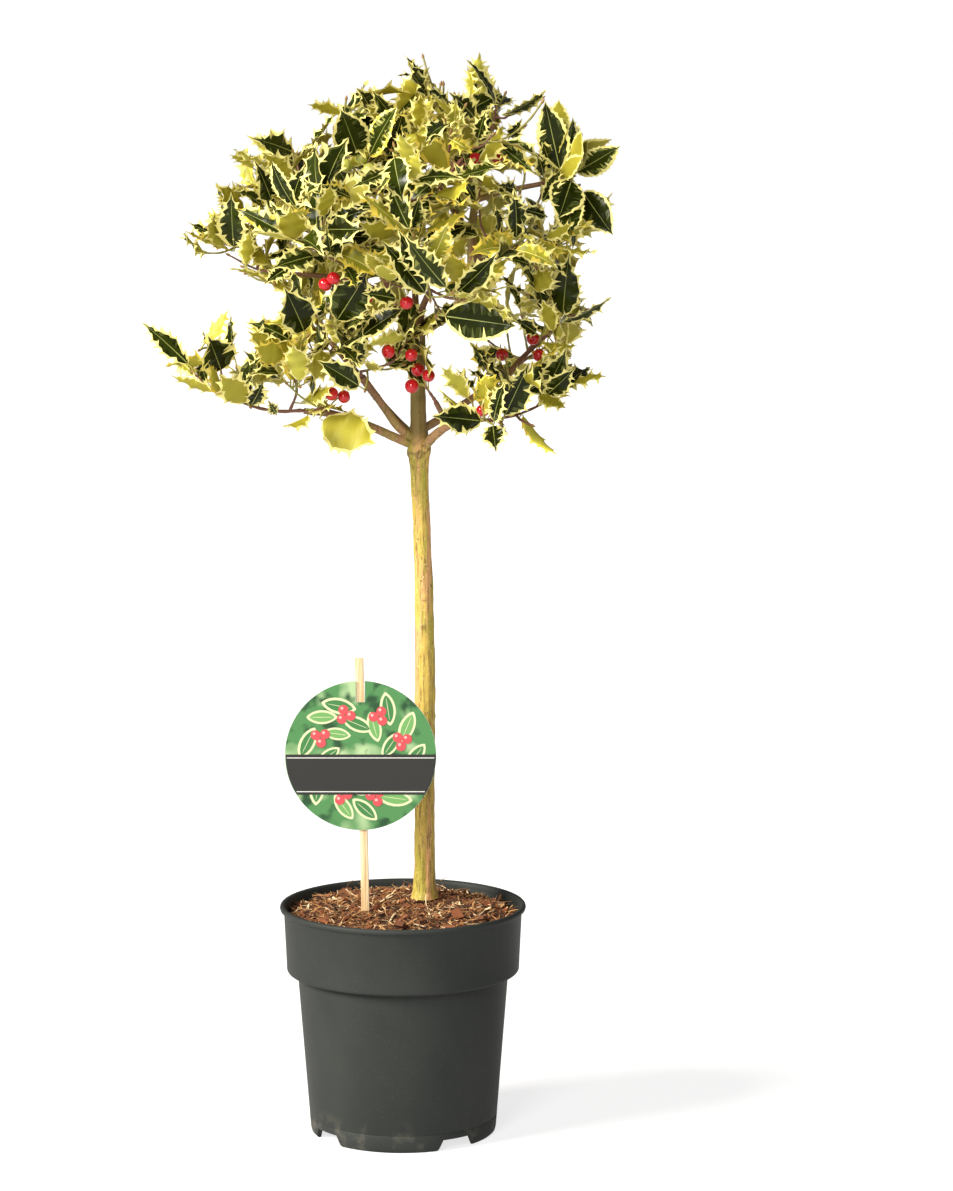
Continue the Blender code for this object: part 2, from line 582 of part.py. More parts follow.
class SprayGrowth:
    """Grows one spray by its seeded rule, a stage at a time, so that all sprays share the space fairly."""

    def __init__(self, spray, start, heading, space):
        """Starts the stem GAP clear of the bough's tip, in line with it."""
        self.spray = spray
        self.random = random.Random(spray.seed)
        self.space = space
        self.pieces = []
        self.twigs = []
        self.start = start + heading * GAP
        self.heading = heading

    def add(self, kind, shape):
        """Keeps a body of this spray."""
        self.space.add(self.spray.name, shape)
        self.pieces.append((kind, shape))

    def add_twig(self, points, root, forced):
        """Adds a twig through the points, unless it would touch another node."""
        path = smooth_path(points, STEPS_PER_TWIG_SPAN)
        swollen = twig_shape(path, root, TWIG_TIP_RADIUS, CLEARANCE)
        blocked = not forced and self.space.meets(swollen, self.spray.name, False)
        swollen.free()
        if blocked:
            return False
        self.add("twig", twig_shape(path, root, TWIG_TIP_RADIUS))
        self.twigs.append(Twig(path, root, self.random.uniform(0, math.tau)))
        return True

    def nearest_on_stem(self, place):
        """The point of the stem that lies nearest to a place, past its bare foot."""
        path = self.twigs[0].path
        reach = lengths_along(path)[-1]
        low, high = SHOOT_SHARES
        shares = [low + (high - low) * step / SHOOT_STEPS for step in range(SHOOT_STEPS)]
        points = [point_at(path, reach * share)[0] for share in shares]
        return min(points, key=lambda point: (point - place).length)

    def grow_stem(self):
        """The stem and the named shoots, and the berries on their stalks."""
        stem = [self.start, self.start + self.heading * STEM_START]
        stem += [Vector(place) * MM for place in self.spray.stem]
        self.add_twig(stem, TWIG_ROOT_RADIUS, True)
        for shoot in self.spray.shoots:
            places = [Vector(place) * MM for place in shoot]
            self.add_twig([self.nearest_on_stem(places[0])] + places, SHOOT_ROOT_RADIUS, False)
        for place in self.spray.berries:
            self.grow_berry(Vector(place) * MM)

    def grow_berry(self, place):
        """A berry on a short stalk from the nearest twig."""
        roots = [point for twig in self.twigs for point in twig.path[1:]]
        root = min(roots, key=lambda point: (point - place).length)
        berry = bmesh.new()
        bmesh.ops.create_uvsphere(berry, u_segments=6, v_segments=4, radius=BERRY_RADIUS)
        bmesh.ops.transform(berry, matrix=Matrix.Translation(place), verts=berry.verts)
        self.add("berry", berry)
        stalk = [root, place]
        self.add("twig", limb(stalk, [BERRY_STALK_RADIUS] * 2, 3))

    def grow_side_shoots(self):
        """Shoots that branch from the twigs by the golden angle."""
        for number in range(self.spray.side_shoots):
            twig = self.twigs[number % len(self.twigs)]
            reach = lengths_along(twig.path)[-1]
            for attempt in range(SIDE_SHOOT_TRIES):
                place, heading = point_at(twig.path, reach * self.random.uniform(*SIDE_SHOOT_SHARES))
                length = self.random.uniform(*SIDE_SHOOT_LENGTHS)
                around = twig.turn + GOLDEN_ANGLE * (number * SIDE_SHOOT_TRIES + attempt)
                aside = Matrix.Rotation(around, 3, heading) @ heading.orthogonal().normalized()
                way = ((heading + aside) * SIDE_SHOOT_SPREAD + UP * SIDE_SHOOT_LIFT).normalized()
                bend = place + way * length * 0.5
                end = bend + (way + UP * SIDE_SHOOT_BEND).normalized() * length * 0.5
                if self.add_twig([place, bend, end], SHOOT_ROOT_RADIUS, False):
                    break

    def leaf_sites(self):
        """Where each leaf may grow, by twig and distance, with how far it leans out from its twig."""
        sites = []
        for twig in self.twigs:
            reach = lengths_along(twig.path)[-1]
            steps = int((reach - BARE_TWIG) / LEAF_SPACING)
            for step in range(steps):
                lean = TWIG_LEAN - TWIG_LEAN_LOSS * (step + 0.5) / steps
                sites.append((twig, BARE_TWIG + LEAF_SPACING * step, lean, step))
            for step, lean in enumerate(TIP_LEANS):
                sites.append((twig, reach - TIP_SPACING * (step + 0.3), lean, steps + step))
        return sites

    def grow_leaf(self, site):
        """Sets one leaf at its site, turned until it is clear of everything, or else leaves it out."""
        twig, distance, lean, number = site
        place, heading = point_at(twig.path, distance)
        outward = Vector((place.x - CROWN_AXIS.x, place.y - CROWN_AXIS.y, 0.0)).normalized()
        for attempt in range(LEAF_TRIES):
            around = twig.turn + GOLDEN_ANGLE * number + TRY_TURN * attempt
            aside = Matrix.Rotation(around, 3, heading) @ heading.orthogonal().normalized()
            tilt = lean + self.random.uniform(-LEAN_SPREAD, LEAN_SPREAD)
            way = heading * math.cos(tilt) + aside * math.sin(tilt)
            light = (heading - way * heading.dot(way)) * FACE_ALONG + outward * FACE_OUT + UP * FACE_UP
            light += Vector(self.random.gauss(0, FACE_SPREAD) for _ in range(3))
            length = self.random.uniform(*LEAF_LENGTHS) * (1.0 - TRY_SHRINK * attempt)
            width = length * LEAF_WIDTH_SHARE * self.random.uniform(*WIDTH_SPREAD)
            frame = Matrix.Translation(place) @ turn_along(way, light)
            whole = leaf_shape(frame, length, width, swell=CLEARANCE)
            blade = leaf_shape(frame, length, width, start=ROOT_SHARED, swell=CLEARANCE)
            clear = in_crown(frame @ Vector((length, 0.0, -LEAF_DROOP * length)))
            clear = clear and not self.space.meets(whole, self.spray.name, False)
            clear = clear and not self.space.meets(blade, self.spray.name, True)
            whole.free()
            blade.free()
            if clear:
                self.add("leaf", leaf_shape(frame, length, width))
                return

    def fuse(self, finishes):
        """Joins twigs, leaves and berries into one body, and drops a fifth of the leaves each time it fails."""
        kept = list(self.pieces)
        for solver in FUSE_SOLVERS:
            objects = [object_from("piece", shape.copy(), finishes[kind]) for kind, shape in kept]
            body = objects[0]
            body.name = self.spray.name
            if apply_boolean(body, objects[1:], "UNION", solver):
                return
            bpy.data.objects.remove(body)
            kept = [piece for number, piece in enumerate(kept) if piece[0] != "leaf" or number % 5]
        raise ValueError(f"{self.spray.name} doesn't close")


def crown(paths, radii, finishes):
    """All the sprays: stems first, then side shoots, then leaves turn by turn."""
    space = Space()
    for name, path in paths.items():
        shape = limb(path, radii[name], TRUNK_SIDES if name == "trunk" else BOUGH_SIDES)
        space.add(name, shape)
        shape.free()
    growths = []
    for spray in SPRAYS:
        path = paths[spray.bough]
        growths.append(SprayGrowth(spray, path[-1], tangent_at(path, len(path) - 1), space))
    for growth in growths:
        growth.grow_stem()
    for growth in growths:
        growth.grow_side_shoots()
    waiting = [(growth, growth.leaf_sites()) for growth in growths]
    while any(sites for _, sites in waiting):
        for growth, sites in waiting:
            if sites:
                growth.grow_leaf(sites.pop())
    for growth in growths:
        growth.fuse(finishes)


def pot_profile():
    """The outline of the pot's wall: underside, outer side, rolled lip, inner side and floor."""
    floor = FOOT_HEIGHT + WALL
    lip_foot = POT_HEIGHT - 7.0 * MM
    inner_collar = COLLAR_FOOT_RADIUS - WALL
    return (
        (0.0, 0.0),
        (PAD_RADIUS, 0.0),
        (PAD_RADIUS + 1.5 * MM, FOOT_HEIGHT),
        (FOOT_RADIUS - 2.6 * MM, FOOT_HEIGHT),
        (FOOT_RADIUS - 2.4 * MM, 0.0),
        (FOOT_RADIUS, 0.0),
        (BODY_FOOT_RADIUS - 0.6 * MM, 1.4 * MM),
        (BODY_FOOT_RADIUS, 4.0 * MM),
        (BODY_TOP_RADIUS, COLLAR_FOOT - 2.5 * MM),
        (COLLAR_FOOT_RADIUS - 4.0 * MM, COLLAR_FOOT - 1.0 * MM),
        (COLLAR_FOOT_RADIUS - 0.9 * MM, COLLAR_FOOT + 2.0 * MM),
        (COLLAR_FOOT_RADIUS, COLLAR_FOOT + 6.0 * MM),
        (COLLAR_TOP_RADIUS, lip_foot),
        (LIP_RADIUS - 0.6 * MM, lip_foot + 1.2 * MM),
        (LIP_RADIUS, lip_foot + 3.6 * MM),
        (LIP_RADIUS - 1.2 * MM, POT_HEIGHT),
        (COLLAR_TOP_RADIUS - 0.8 * MM, POT_HEIGHT),
        (COLLAR_TOP_RADIUS - WALL, lip_foot + 3.0 * MM),
        (inner_collar, COLLAR_FOOT + 6.0 * MM),
        (inner_collar - 1.4 * MM, COLLAR_FOOT + 2.8 * MM),
        (BODY_TOP_RADIUS - WALL, COLLAR_FOOT - 0.8 * MM),
        (BODY_FOOT_RADIUS - WALL, floor),
        (0.0, floor),
    )


def pot(plastic):
    """The pot, with a notch with sloped sides between each two of its feet."""
    body = object_from("pot", turned(pot_profile(), POT_SIDES), plastic)
    cutters = []
    half_width = FOOT_RADIUS * math.tan(NOTCH_ANGLE / 2)
    depth = FOOT_HEIGHT - 0.4 * MM
    for number in range(NOTCHES):
        cutter = bmesh.new()
        bmesh.ops.create_cube(cutter, size=1.0)
        for vert in cutter.verts:
            narrow = 0.72 if vert.co.z > 0 else 1.0
            vert.co = Vector((
                (FOOT_RADIUS - 9.0 * MM) if vert.co.x < 0 else (FOOT_RADIUS + 9.0 * MM),
                vert.co.y * 2 * half_width * narrow,
                depth if vert.co.z > 0 else -2.0 * MM,
            ))
        turn = Euler((0.0, 0.0, NOTCH_TURN + math.tau * number / NOTCHES)).to_matrix().to_4x4()
        bmesh.ops.transform(cutter, matrix=turn, verts=cutter.verts)
        cutters.append(object_from("cutter", cutter, plastic))
    apply_boolean(body, cutters, "DIFFERENCE")
    return body


def soil(compost):
    """The compost that fills the pot, clear of its wall, with a level top under the stem."""
    inner_collar = COLLAR_FOOT_RADIUS - WALL - SOIL_GAP
    profile = (
        (0.0, FOOT_HEIGHT + WALL + SOIL_GAP),
        (BODY_FOOT_RADIUS - WALL - SOIL_GAP, FOOT_HEIGHT + WALL + SOIL_GAP),
        (BODY_TOP_RADIUS - WALL - SOIL_GAP, COLLAR_FOOT - 0.8 * MM + SOIL_GAP),
        (inner_collar - 1.4 * MM, COLLAR_FOOT + 2.8 * MM + SOIL_GAP),
        (inner_collar, COLLAR_FOOT + 6.0 * MM + SOIL_GAP),
        (COLLAR_TOP_RADIUS - WALL - SOIL_GAP - 0.3 * MM, SOIL_EDGE),
        (SOIL_LEVEL_RADIUS + 24.0 * MM, SOIL_TOP - 3.6 * MM),
        (SOIL_LEVEL_RADIUS, SOIL_TOP),
        (0.0, SOIL_TOP),
    )
    return object_from("soil", turned(profile, POT_SIDES), compost)


def tag_and_stick(wood, card):
    """The stick that stands in the compost, and the round tag in front of it."""
    lean = Matrix.Rotation(STICK_LEAN, 4, "Y")
    stick = bmesh.new()
    bmesh.ops.create_cube(stick, size=1.0)
    for vert in stick.verts:
        height = STICK_TOP if vert.co.z > 0 else SOIL_TOP + GAP
        shift = lean @ Vector((0.0, 0.0, height - SOIL_TOP))
        vert.co = Vector((
            STICK_FOOT.x + shift.x + vert.co.x * STICK_WIDTH,
            STICK_FOOT.y + vert.co.y * STICK_THICKNESS,
            height,
        ))
    object_from("tag_stick", stick, wood)

    disc = bmesh.new()
    bmesh.ops.create_cone(disc, cap_ends=True, segments=TAG_SIDES, radius1=TAG_RADIUS, radius2=TAG_RADIUS,
                          depth=TAG_THICKNESS)
    place = Matrix.Translation(TAG_CENTRE) @ Matrix.Rotation(math.radians(90.0), 4, "X")
    bmesh.ops.transform(disc, matrix=place, verts=disc.verts)
    tag = object_from("tag", disc, card)
    notch = bmesh.new()
    bmesh.ops.create_cube(notch, size=1.0)
    size = Matrix.Diagonal((STICK_WIDTH + 2 * GAP, TAG_THICKNESS * 6, 2 * TAG_NOTCH_DEPTH, 1.0))
    over = Matrix.Translation(TAG_CENTRE + UP * TAG_RADIUS)
    bmesh.ops.transform(notch, matrix=over @ size, verts=notch.verts)
    apply_boolean(tag, [object_from("cutter", notch, card)], "DIFFERENCE")


def shade_round_parts():
    """Smooth shading on what is round, with its edges kept."""
    for made in bpy.context.scene.collection.objects:
        made.data.shade_smooth()
        made.data.set_sharp_from_angle(angle=math.radians(38.0))


def main():
    """Builds the whole tree in its pot."""
    clear_scene()
    bark = finish_of("bark", (0.30, 0.25, 0.10), 0.75)
    finishes = {
        "leaf": finish_of("leaf", (0.16, 0.24, 0.06), 0.3),
        "twig": finish_of("twig", (0.22, 0.11, 0.06), 0.6),
        "berry": finish_of("berry", (0.62, 0.01, 0.01), 0.2),
    }
    pot(finish_of("pot_plastic", (0.06, 0.07, 0.068), 0.5))
    soil(finish_of("compost", (0.14, 0.06, 0.03), 0.95))
    paths, radii = boughs_and_trunk(bark)
    crown(paths, radii, finishes)
    wood = finish_of("stick_wood", (0.62, 0.45, 0.26), 0.7)
    tag_and_stick(wood, finish_of("tag_card", (0.16, 0.36, 0.12), 0.4))
    shade_round_parts()


main()
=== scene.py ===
"""Dresses the potted holly tree: pot, compost, bark, twigs, cream-edged leaves, berries, tag and stick.

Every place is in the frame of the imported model: metres, +Z up, the pot's axis on the origin, -Y the front.
"""

import json
import logging
import math
import random
from collections.abc import Callable, Sequence
from dataclasses import dataclass, field
from enum import Enum, IntEnum

import bmesh
import bpy
import numpy as np
from mathutils import Euler, Matrix, Vector, noise
from mathutils.bvhtree import BVHTree

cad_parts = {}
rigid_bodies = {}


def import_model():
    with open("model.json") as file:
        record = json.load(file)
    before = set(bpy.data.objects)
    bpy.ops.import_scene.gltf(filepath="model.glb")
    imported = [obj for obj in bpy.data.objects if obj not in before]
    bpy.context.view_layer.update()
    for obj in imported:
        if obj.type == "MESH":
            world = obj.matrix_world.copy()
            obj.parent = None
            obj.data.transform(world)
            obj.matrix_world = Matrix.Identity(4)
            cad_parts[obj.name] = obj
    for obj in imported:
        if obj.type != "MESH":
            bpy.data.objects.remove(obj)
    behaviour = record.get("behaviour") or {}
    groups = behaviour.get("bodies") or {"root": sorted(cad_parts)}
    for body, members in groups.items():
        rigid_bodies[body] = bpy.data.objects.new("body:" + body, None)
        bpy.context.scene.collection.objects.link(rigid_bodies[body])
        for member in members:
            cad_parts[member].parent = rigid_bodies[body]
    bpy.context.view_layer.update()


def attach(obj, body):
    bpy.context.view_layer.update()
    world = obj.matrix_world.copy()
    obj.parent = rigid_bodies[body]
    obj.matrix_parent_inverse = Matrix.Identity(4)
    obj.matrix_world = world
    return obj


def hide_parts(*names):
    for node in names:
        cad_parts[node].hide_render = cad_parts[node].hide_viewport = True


LOG = logging.getLogger("holly")
MM = 0.001
UP = Vector((0.0, 0.0, 1.0))
GOLDEN_ANGLE = math.radians(137.5)
Colour = tuple[float, float, float]
Place = tuple[float, float, float]


# Paths

def smooth_path(points: Sequence[Vector], steps: int) -> list[Vector]:
    """A smooth curve through the points.

    Args:
        points: The places that it runs through, in metres.
        steps: How many steps each span is cut into.

    Returns:
        The points along the curve, from the first place to the last.
    """
    ends = [points[0] * 2 - points[1], *points, points[-1] * 2 - points[-2]]
    path = []
    for before, start, end, after in zip(ends, ends[1:], ends[2:], ends[3:]):
        for step in range(steps):
            t = step / steps
            path.append(
                0.5 * (2 * start + (end - before) * t
                       + (2 * before - 5 * start + 4 * end - after) * t ** 2
                       + (3 * start - before - 3 * end + after) * t ** 3)
            )
    path.append(points[-1].copy())
    return path


def tangent_at(path: Sequence[Vector], index: int) -> Vector:
    """The direction of a path at one of its points."""
    return (path[min(index + 1, len(path) - 1)] - path[max(index - 1, 0)]).normalized()


def lengths_along(path: Sequence[Vector]) -> list[float]:
    """The distance of each point of a path from its start."""
    run = [0.0]
    for start, end in zip(path, path[1:]):
        run.append(run[-1] + (end - start).length)
    return run


def point_at(path: Sequence[Vector], distance: float) -> tuple[Vector, Vector]:
    """The place and the direction at a distance along a path."""
    run = lengths_along(path)
    last = len(path) - 2
    index = next((i for i in range(last) if distance <= run[i + 1]), last)
    share = (distance - run[index]) / (run[index + 1] - run[index])
    return path[index].lerp(path[index + 1], share), (path[index + 1] - path[index]).normalized()


def turn_along(direction: Vector, upwards: Vector) -> Matrix:
    """A turn whose X runs along a direction and whose Z is as near upwards as it can be."""
    x = direction.normalized()
    z = upwards - x * upwards.dot(x)
    if z.length < 1e-4:
        z = x.orthogonal()
    z.normalize()
    return Matrix((x, z.cross(x), z)).transposed().to_4x4()


def tapered(path: Sequence[Vector], root: float, tip: float) -> list[float]:
    """Radii that fall evenly along a path."""
    run = lengths_along(path)
    return [root + (tip - root) * distance / run[-1] for distance in run]


def aside_at(heading: Vector, around: float) -> Vector:
    """The direction square to a heading, at an angle around it."""
    return Matrix.Rotation(around, 3, heading) @ heading.orthogonal().normalized()


def nearest(points: Sequence[Vector], place: Vector) -> Vector:
    """The point that lies nearest to a place."""
    return min(points, key=lambda point: (point - place).length)


# The camera's sight

@dataclass(frozen=True)
class Sight:
    """Where the camera stands, and where a point of the photograph's frame lies in space."""

    camera: Place = (0.0628, -3.0, 0.853)
    pitch: float = math.radians(7.42)
    focal: float = 3582.0
    width: float = 953.0
    height: float = 1191.0

    def toward(self, across: float, down: float) -> Vector:
        """The direction through a point of the frame, in pixels from its upper left corner."""
        ahead = Vector((0.0, math.cos(self.pitch), -math.sin(self.pitch)))
        above = Vector((0.0, math.sin(self.pitch), math.cos(self.pitch)))
        right = Vector((1.0, 0.0, 0.0)) * ((across - self.width / 2) / self.focal)
        return ahead + right - above * ((down - self.height / 2) / self.focal)

    def place(self, across: float, down: float, depth: float) -> Vector:
        """The place seen at a point of the frame, at a depth in metres behind the pot's axis."""
        ray = self.toward(across, down)
        return Vector(self.camera) + ray * ((depth - self.camera[1]) / ray.y)

    def seen(self, place: Vector) -> tuple[float, float]:
        """The point of the frame at which a place is seen."""
        away = place - Vector(self.camera)
        ahead = away.y * math.cos(self.pitch) - away.z * math.sin(self.pitch)
        above = away.y * math.sin(self.pitch) + away.z * math.cos(self.pitch)
        return (self.width / 2 + self.focal * away.x / ahead, self.height / 2 - self.focal * above / ahead)


# Meshes

def tube(path: Sequence[Vector], radii: Sequence[float], sides: int) -> bmesh.types.BMesh:
    """A closed round limb: a ring that is extruded from station to station.

    Args:
        path: The middle of each station.
        radii: The radius at each station.
        sides: How many sides the ring has.

    Returns:
        The limb as a new bmesh.
    """
    shape = bmesh.new()
    bmesh.ops.create_circle(shape, cap_ends=True, radius=1.0, segments=sides)
    side = UP if abs(tangent_at(path, 0).z) < 0.9 else Vector((0.0, -1.0, 0.0))
    placed = Matrix()
    moving = shape.verts[:]
    cap = shape.faces[:][0]
    for index, (place, radius) in enumerate(zip(path, radii)):
        along = tangent_at(path, index)
        side = (side - along * side.dot(along)).normalized()
        turn = Matrix((side, along.cross(side), along)).transposed().to_4x4()
        station = Matrix.Translation(place) @ turn @ Matrix.Diagonal((radius, radius, radius, 1.0))
        if index:
            grown = bmesh.ops.extrude_face_region(shape, geom=[cap])["geom"]
            moving = [item for item in grown if isinstance(item, bmesh.types.BMVert)]
            if index > 1:
                bmesh.ops.delete(shape, geom=[cap], context="FACES_ONLY")
            cap = next(item for item in grown if isinstance(item, bmesh.types.BMFace))
        bmesh.ops.transform(shape, matrix=station @ placed.inverted(), verts=moving)
        placed = station
    bmesh.ops.recalc_face_normals(shape, faces=shape.faces)
    return shape


def turned(profile: Sequence[tuple[float, float]], sides: int) -> bmesh.types.BMesh:
    """A solid of revolution from (radius, height) points that start and end on the axis."""
    shape = bmesh.new()
    points = [shape.verts.new((radius, 0.0, height)) for radius, height in profile]
    edges = [shape.edges.new(pair) for pair in zip(points, points[1:])]
    bmesh.ops.spin(shape, geom=points + edges, cent=(0, 0, 0), axis=UP, angle=math.tau, steps=sides,
                   use_merge=True)
    bmesh.ops.remove_doubles(shape, verts=shape.verts, dist=0.001 * MM)
    bmesh.ops.recalc_face_normals(shape, faces=shape.faces)
    return shape


def finished(name: str, mesh: bpy.types.Mesh, finishes: Sequence[bpy.types.Material],
             sharp: float) -> bpy.types.Object:
    """Makes a smooth object of a mesh, with its finishes on and its sharp edges kept."""
    for finish in finishes:
        mesh.materials.append(finish)
    mesh.shade_smooth()
    mesh.set_sharp_from_angle(angle=math.radians(sharp))
    made = bpy.data.objects.new(name, mesh)
    bpy.context.scene.collection.objects.link(made)
    return made


def object_from(name: str, shape: bmesh.types.BMesh, finishes: Sequence[bpy.types.Material],
                sharp: float = 40.0) -> bpy.types.Object:
    """Turns a bmesh into a smooth object with its edges kept, and frees the bmesh."""
    mesh = bpy.data.meshes.new(name)
    shape.to_mesh(mesh)
    shape.free()
    return finished(name, mesh, finishes, sharp)


class Gathered:
    """Small shapes of one kind that are joined into one mesh, with a material number to each face."""

    def __init__(self) -> None:
        """Starts with nothing gathered."""
        self.points: list[np.ndarray] = []
        self.faces: list[tuple[int, ...]] = []
        self.slots: list[int] = []
        self.total = 0

    def add(self, points: np.ndarray, faces: Sequence[Sequence[int]], slots: Sequence[int]) -> None:
        """Adds a shape by its points, its faces and the material number of each face."""
        self.points.append(points)
        self.faces.extend(tuple(corner + self.total for corner in face) for face in faces)
        self.slots.extend(slots)
        self.total += len(points)

    def add_shape(self, shape: bmesh.types.BMesh, slot: int | None = None) -> None:
        """Adds a bmesh, in one material or in its own, and frees it."""
        shape.verts.index_update()
        points = np.array([vert.co for vert in shape.verts])
        faces = [[vert.index for vert in face.verts] for face in shape.faces]
        slots = [face.material_index if slot is None else slot for face in shape.faces]
        shape.free()
        self.add(points, faces, slots)

    def build(self, name: str, finishes: Sequence[bpy.types.Material],
              sharp: float = 50.0) -> bpy.types.Object:
        """Joins what was gathered into one object."""
        mesh = bpy.data.meshes.new(name)
        mesh.from_pydata(np.concatenate(self.points).tolist(), [], self.faces)
        mesh.polygons.foreach_set("material_index", self.slots)
        made = finished(name, mesh, finishes, sharp)
        mesh.validate()
        return made


def placed(piece: bpy.types.Object, slot: str, nodes: Sequence[str] = ()) -> None:
    """Sets a finished piece on the tree's one body, in place of any solids it replaces, and reports it."""
    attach(piece, "root")
    if nodes:
        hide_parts(*nodes)
    piece.data.calc_loop_triangles()
    LOG.info("%s: %d triangles for %d nodes", piece.name, len(piece.data.loop_triangles), len(nodes))


# Finishes

def new_group(name: str, inputs: dict[str, float], outputs: dict[str, str]) -> bpy.types.ShaderNodeTree:
    """An empty shader node group.

    Args:
        name: The group's name.
        inputs: Its number inputs with their usual values.
        outputs: Its outputs with their socket types.

    Returns:
        The group with its input and output nodes in place.
    """
    group = bpy.data.node_groups.new(name, "ShaderNodeTree")
    for label, value in inputs.items():
        socket = group.interface.new_socket(label, in_out="INPUT", socket_type="NodeSocketFloat")
        socket.default_value = value
    for label, kind in outputs.items():
        group.interface.new_socket(label, in_out="OUTPUT", socket_type=kind)
    group.nodes.new("NodeGroupInput").name = "in"
    group.nodes.new("NodeGroupOutput").name = "out"
    return group


def mottle_group() -> bpy.types.ShaderNodeTree:
    """A soft patchy mask and a matching relief, on the piece's own place in space."""
    group = new_group(
        "mottle",
        {"Scale": 100.0, "Stretch": 1.0, "Detail": 4.0, "Low": 0.4, "High": 0.6},
        {"Mask": "NodeSocketFloat", "Value": "NodeSocketFloat"},
    )
    nodes = group.nodes
    given, result = nodes["in"].outputs, nodes["out"].inputs
    source = nodes.new("ShaderNodeTexCoord")
    mapping = nodes.new("ShaderNodeMapping")
    combine = nodes.new("ShaderNodeCombineXYZ")
    combine.inputs["X"].default_value = 1.0
    combine.inputs["Y"].default_value = 1.0
    texture = nodes.new("ShaderNodeTexNoise")
    ramp = nodes.new("ShaderNodeMapRange")
    wiring = (
        (given["Stretch"], combine.inputs["Z"]),
        (source.outputs["Object"], mapping.inputs["Vector"]),
        (combine.outputs["Vector"], mapping.inputs["Scale"]),
        (mapping.outputs["Vector"], texture.inputs["Vector"]),
        (given["Scale"], texture.inputs["Scale"]),
        (given["Detail"], texture.inputs["Detail"]),
        (texture.outputs["Fac"], ramp.inputs["Value"]),
        (given["Low"], ramp.inputs["From Min"]),
        (given["High"], ramp.inputs["From Max"]),
        (ramp.outputs["Result"], result["Mask"]),
        (texture.outputs["Fac"], result["Value"]),
    )
    for start, end in wiring:
        group.links.new(start, end)
    return group


class Shader:
    """A material in the making: its Principled BSDF and the nodes that feed it."""

    mottle: bpy.types.ShaderNodeTree | None = None

    def __init__(self, name: str, colour: Colour, roughness: float) -> None:
        """Starts from one colour and one roughness."""
        self.material = bpy.data.materials.new(name)
        self.material.use_nodes = True
        self.material.diffuse_color = (*colour, 1.0)
        self.nodes = self.material.node_tree.nodes
        self.links = self.material.node_tree.links
        self.surface = self.nodes["Principled BSDF"]
        self.surface.inputs["Base Color"].default_value = (*colour, 1.0)
        self.surface.inputs["Roughness"].default_value = roughness

    def mask(self, scale: float, stretch: float = 1.0, detail: float = 4.0,
             low: float = 0.4, high: float = 0.6) -> bpy.types.Node:
        """A mottle group with its own values."""
        if Shader.mottle is None:
            Shader.mottle = mottle_group()
        node = self.nodes.new("ShaderNodeGroup")
        node.node_tree = Shader.mottle
        values = {"Scale": scale, "Stretch": stretch, "Detail": detail, "Low": low, "High": high}
        for label, value in values.items():
            node.inputs[label].default_value = value
        return node

    def mix(self, factor: bpy.types.NodeSocket, first: object, second: object) -> bpy.types.NodeSocket:
        """Mixes two colours, each a colour or a socket, by a mask."""
        node = self.nodes.new("ShaderNodeMix")
        node.data_type = "RGBA"
        self.links.new(factor, node.inputs["Factor"])
        for label, value in (("A", first), ("B", second)):
            socket = next(s for s in node.inputs if s.name == label and s.type == "RGBA")
            if isinstance(value, bpy.types.NodeSocket):
                self.links.new(value, socket)
            else:
                socket.default_value = (*value, 1.0)
        return next(s for s in node.outputs if s.type == "RGBA")

    def ramp(self, value: bpy.types.NodeSocket, side: str, low: float, high: float) -> bpy.types.NodeSocket:
        """A value that is mapped from, or to, the run between two numbers."""
        node = self.nodes.new("ShaderNodeMapRange")
        node.inputs[f"{side} Min"].default_value = low
        node.inputs[f"{side} Max"].default_value = high
        self.links.new(value, node.inputs["Value"])
        return node.outputs["Result"]

    def height_mask(self, low: float, high: float) -> bpy.types.NodeSocket:
        """A mask that rises from 0 to 1 between two heights of the piece."""
        source = self.nodes.new("ShaderNodeTexCoord")
        split = self.nodes.new("ShaderNodeSeparateXYZ")
        self.links.new(source.outputs["Object"], split.inputs["Vector"])
        return self.ramp(split.outputs["Z"], "From", low, high)

    def attribute_mask(self, name: str) -> bpy.types.NodeSocket:
        """A mask that the piece's own attribute holds."""
        node = self.nodes.new("ShaderNodeAttribute")
        node.attribute_name = name
        return node.outputs["Fac"]

    def colour(self, socket: bpy.types.NodeSocket) -> None:
        """Gives the surface its colour."""
        self.links.new(socket, self.surface.inputs["Base Color"])

    def rough(self, factor: bpy.types.NodeSocket, low: float, high: float) -> None:
        """Lets roughness run from low to high with a mask."""
        self.links.new(self.ramp(factor, "To", low, high), self.surface.inputs["Roughness"])

    def bump(self, height: bpy.types.NodeSocket, distance: float, strength: float = 1.0) -> None:
        """Raises a relief of so many metres, over any relief that is there."""
        node = self.nodes.new("ShaderNodeBump")
        node.inputs["Strength"].default_value = strength
        node.inputs["Distance"].default_value = distance
        self.links.new(height, node.inputs["Height"])
        normal = self.surface.inputs["Normal"]
        if normal.is_linked:
            self.links.new(normal.links[0].from_socket, node.inputs["Normal"])
        self.links.new(node.outputs["Normal"], normal)


@dataclass(frozen=True)
class PlainFinish:
    """A small thing's finish: one colour, as the leaves, chips and berries are dealt theirs."""

    name: str
    colour: Colour
    roughness: float = 0.5
    coat: float = 0.0
    shine: float = 0.5
    coat_roughness: float = 0.12

    def build(self) -> bpy.types.Material:
        """Makes the material."""
        shader = Shader(self.name, self.colour, self.roughness)
        shader.surface.inputs["Specular IOR Level"].default_value = self.shine
        shader.surface.inputs["Coat Weight"].default_value = self.coat
        shader.surface.inputs["Coat Roughness"].default_value = self.coat_roughness
        return shader.material


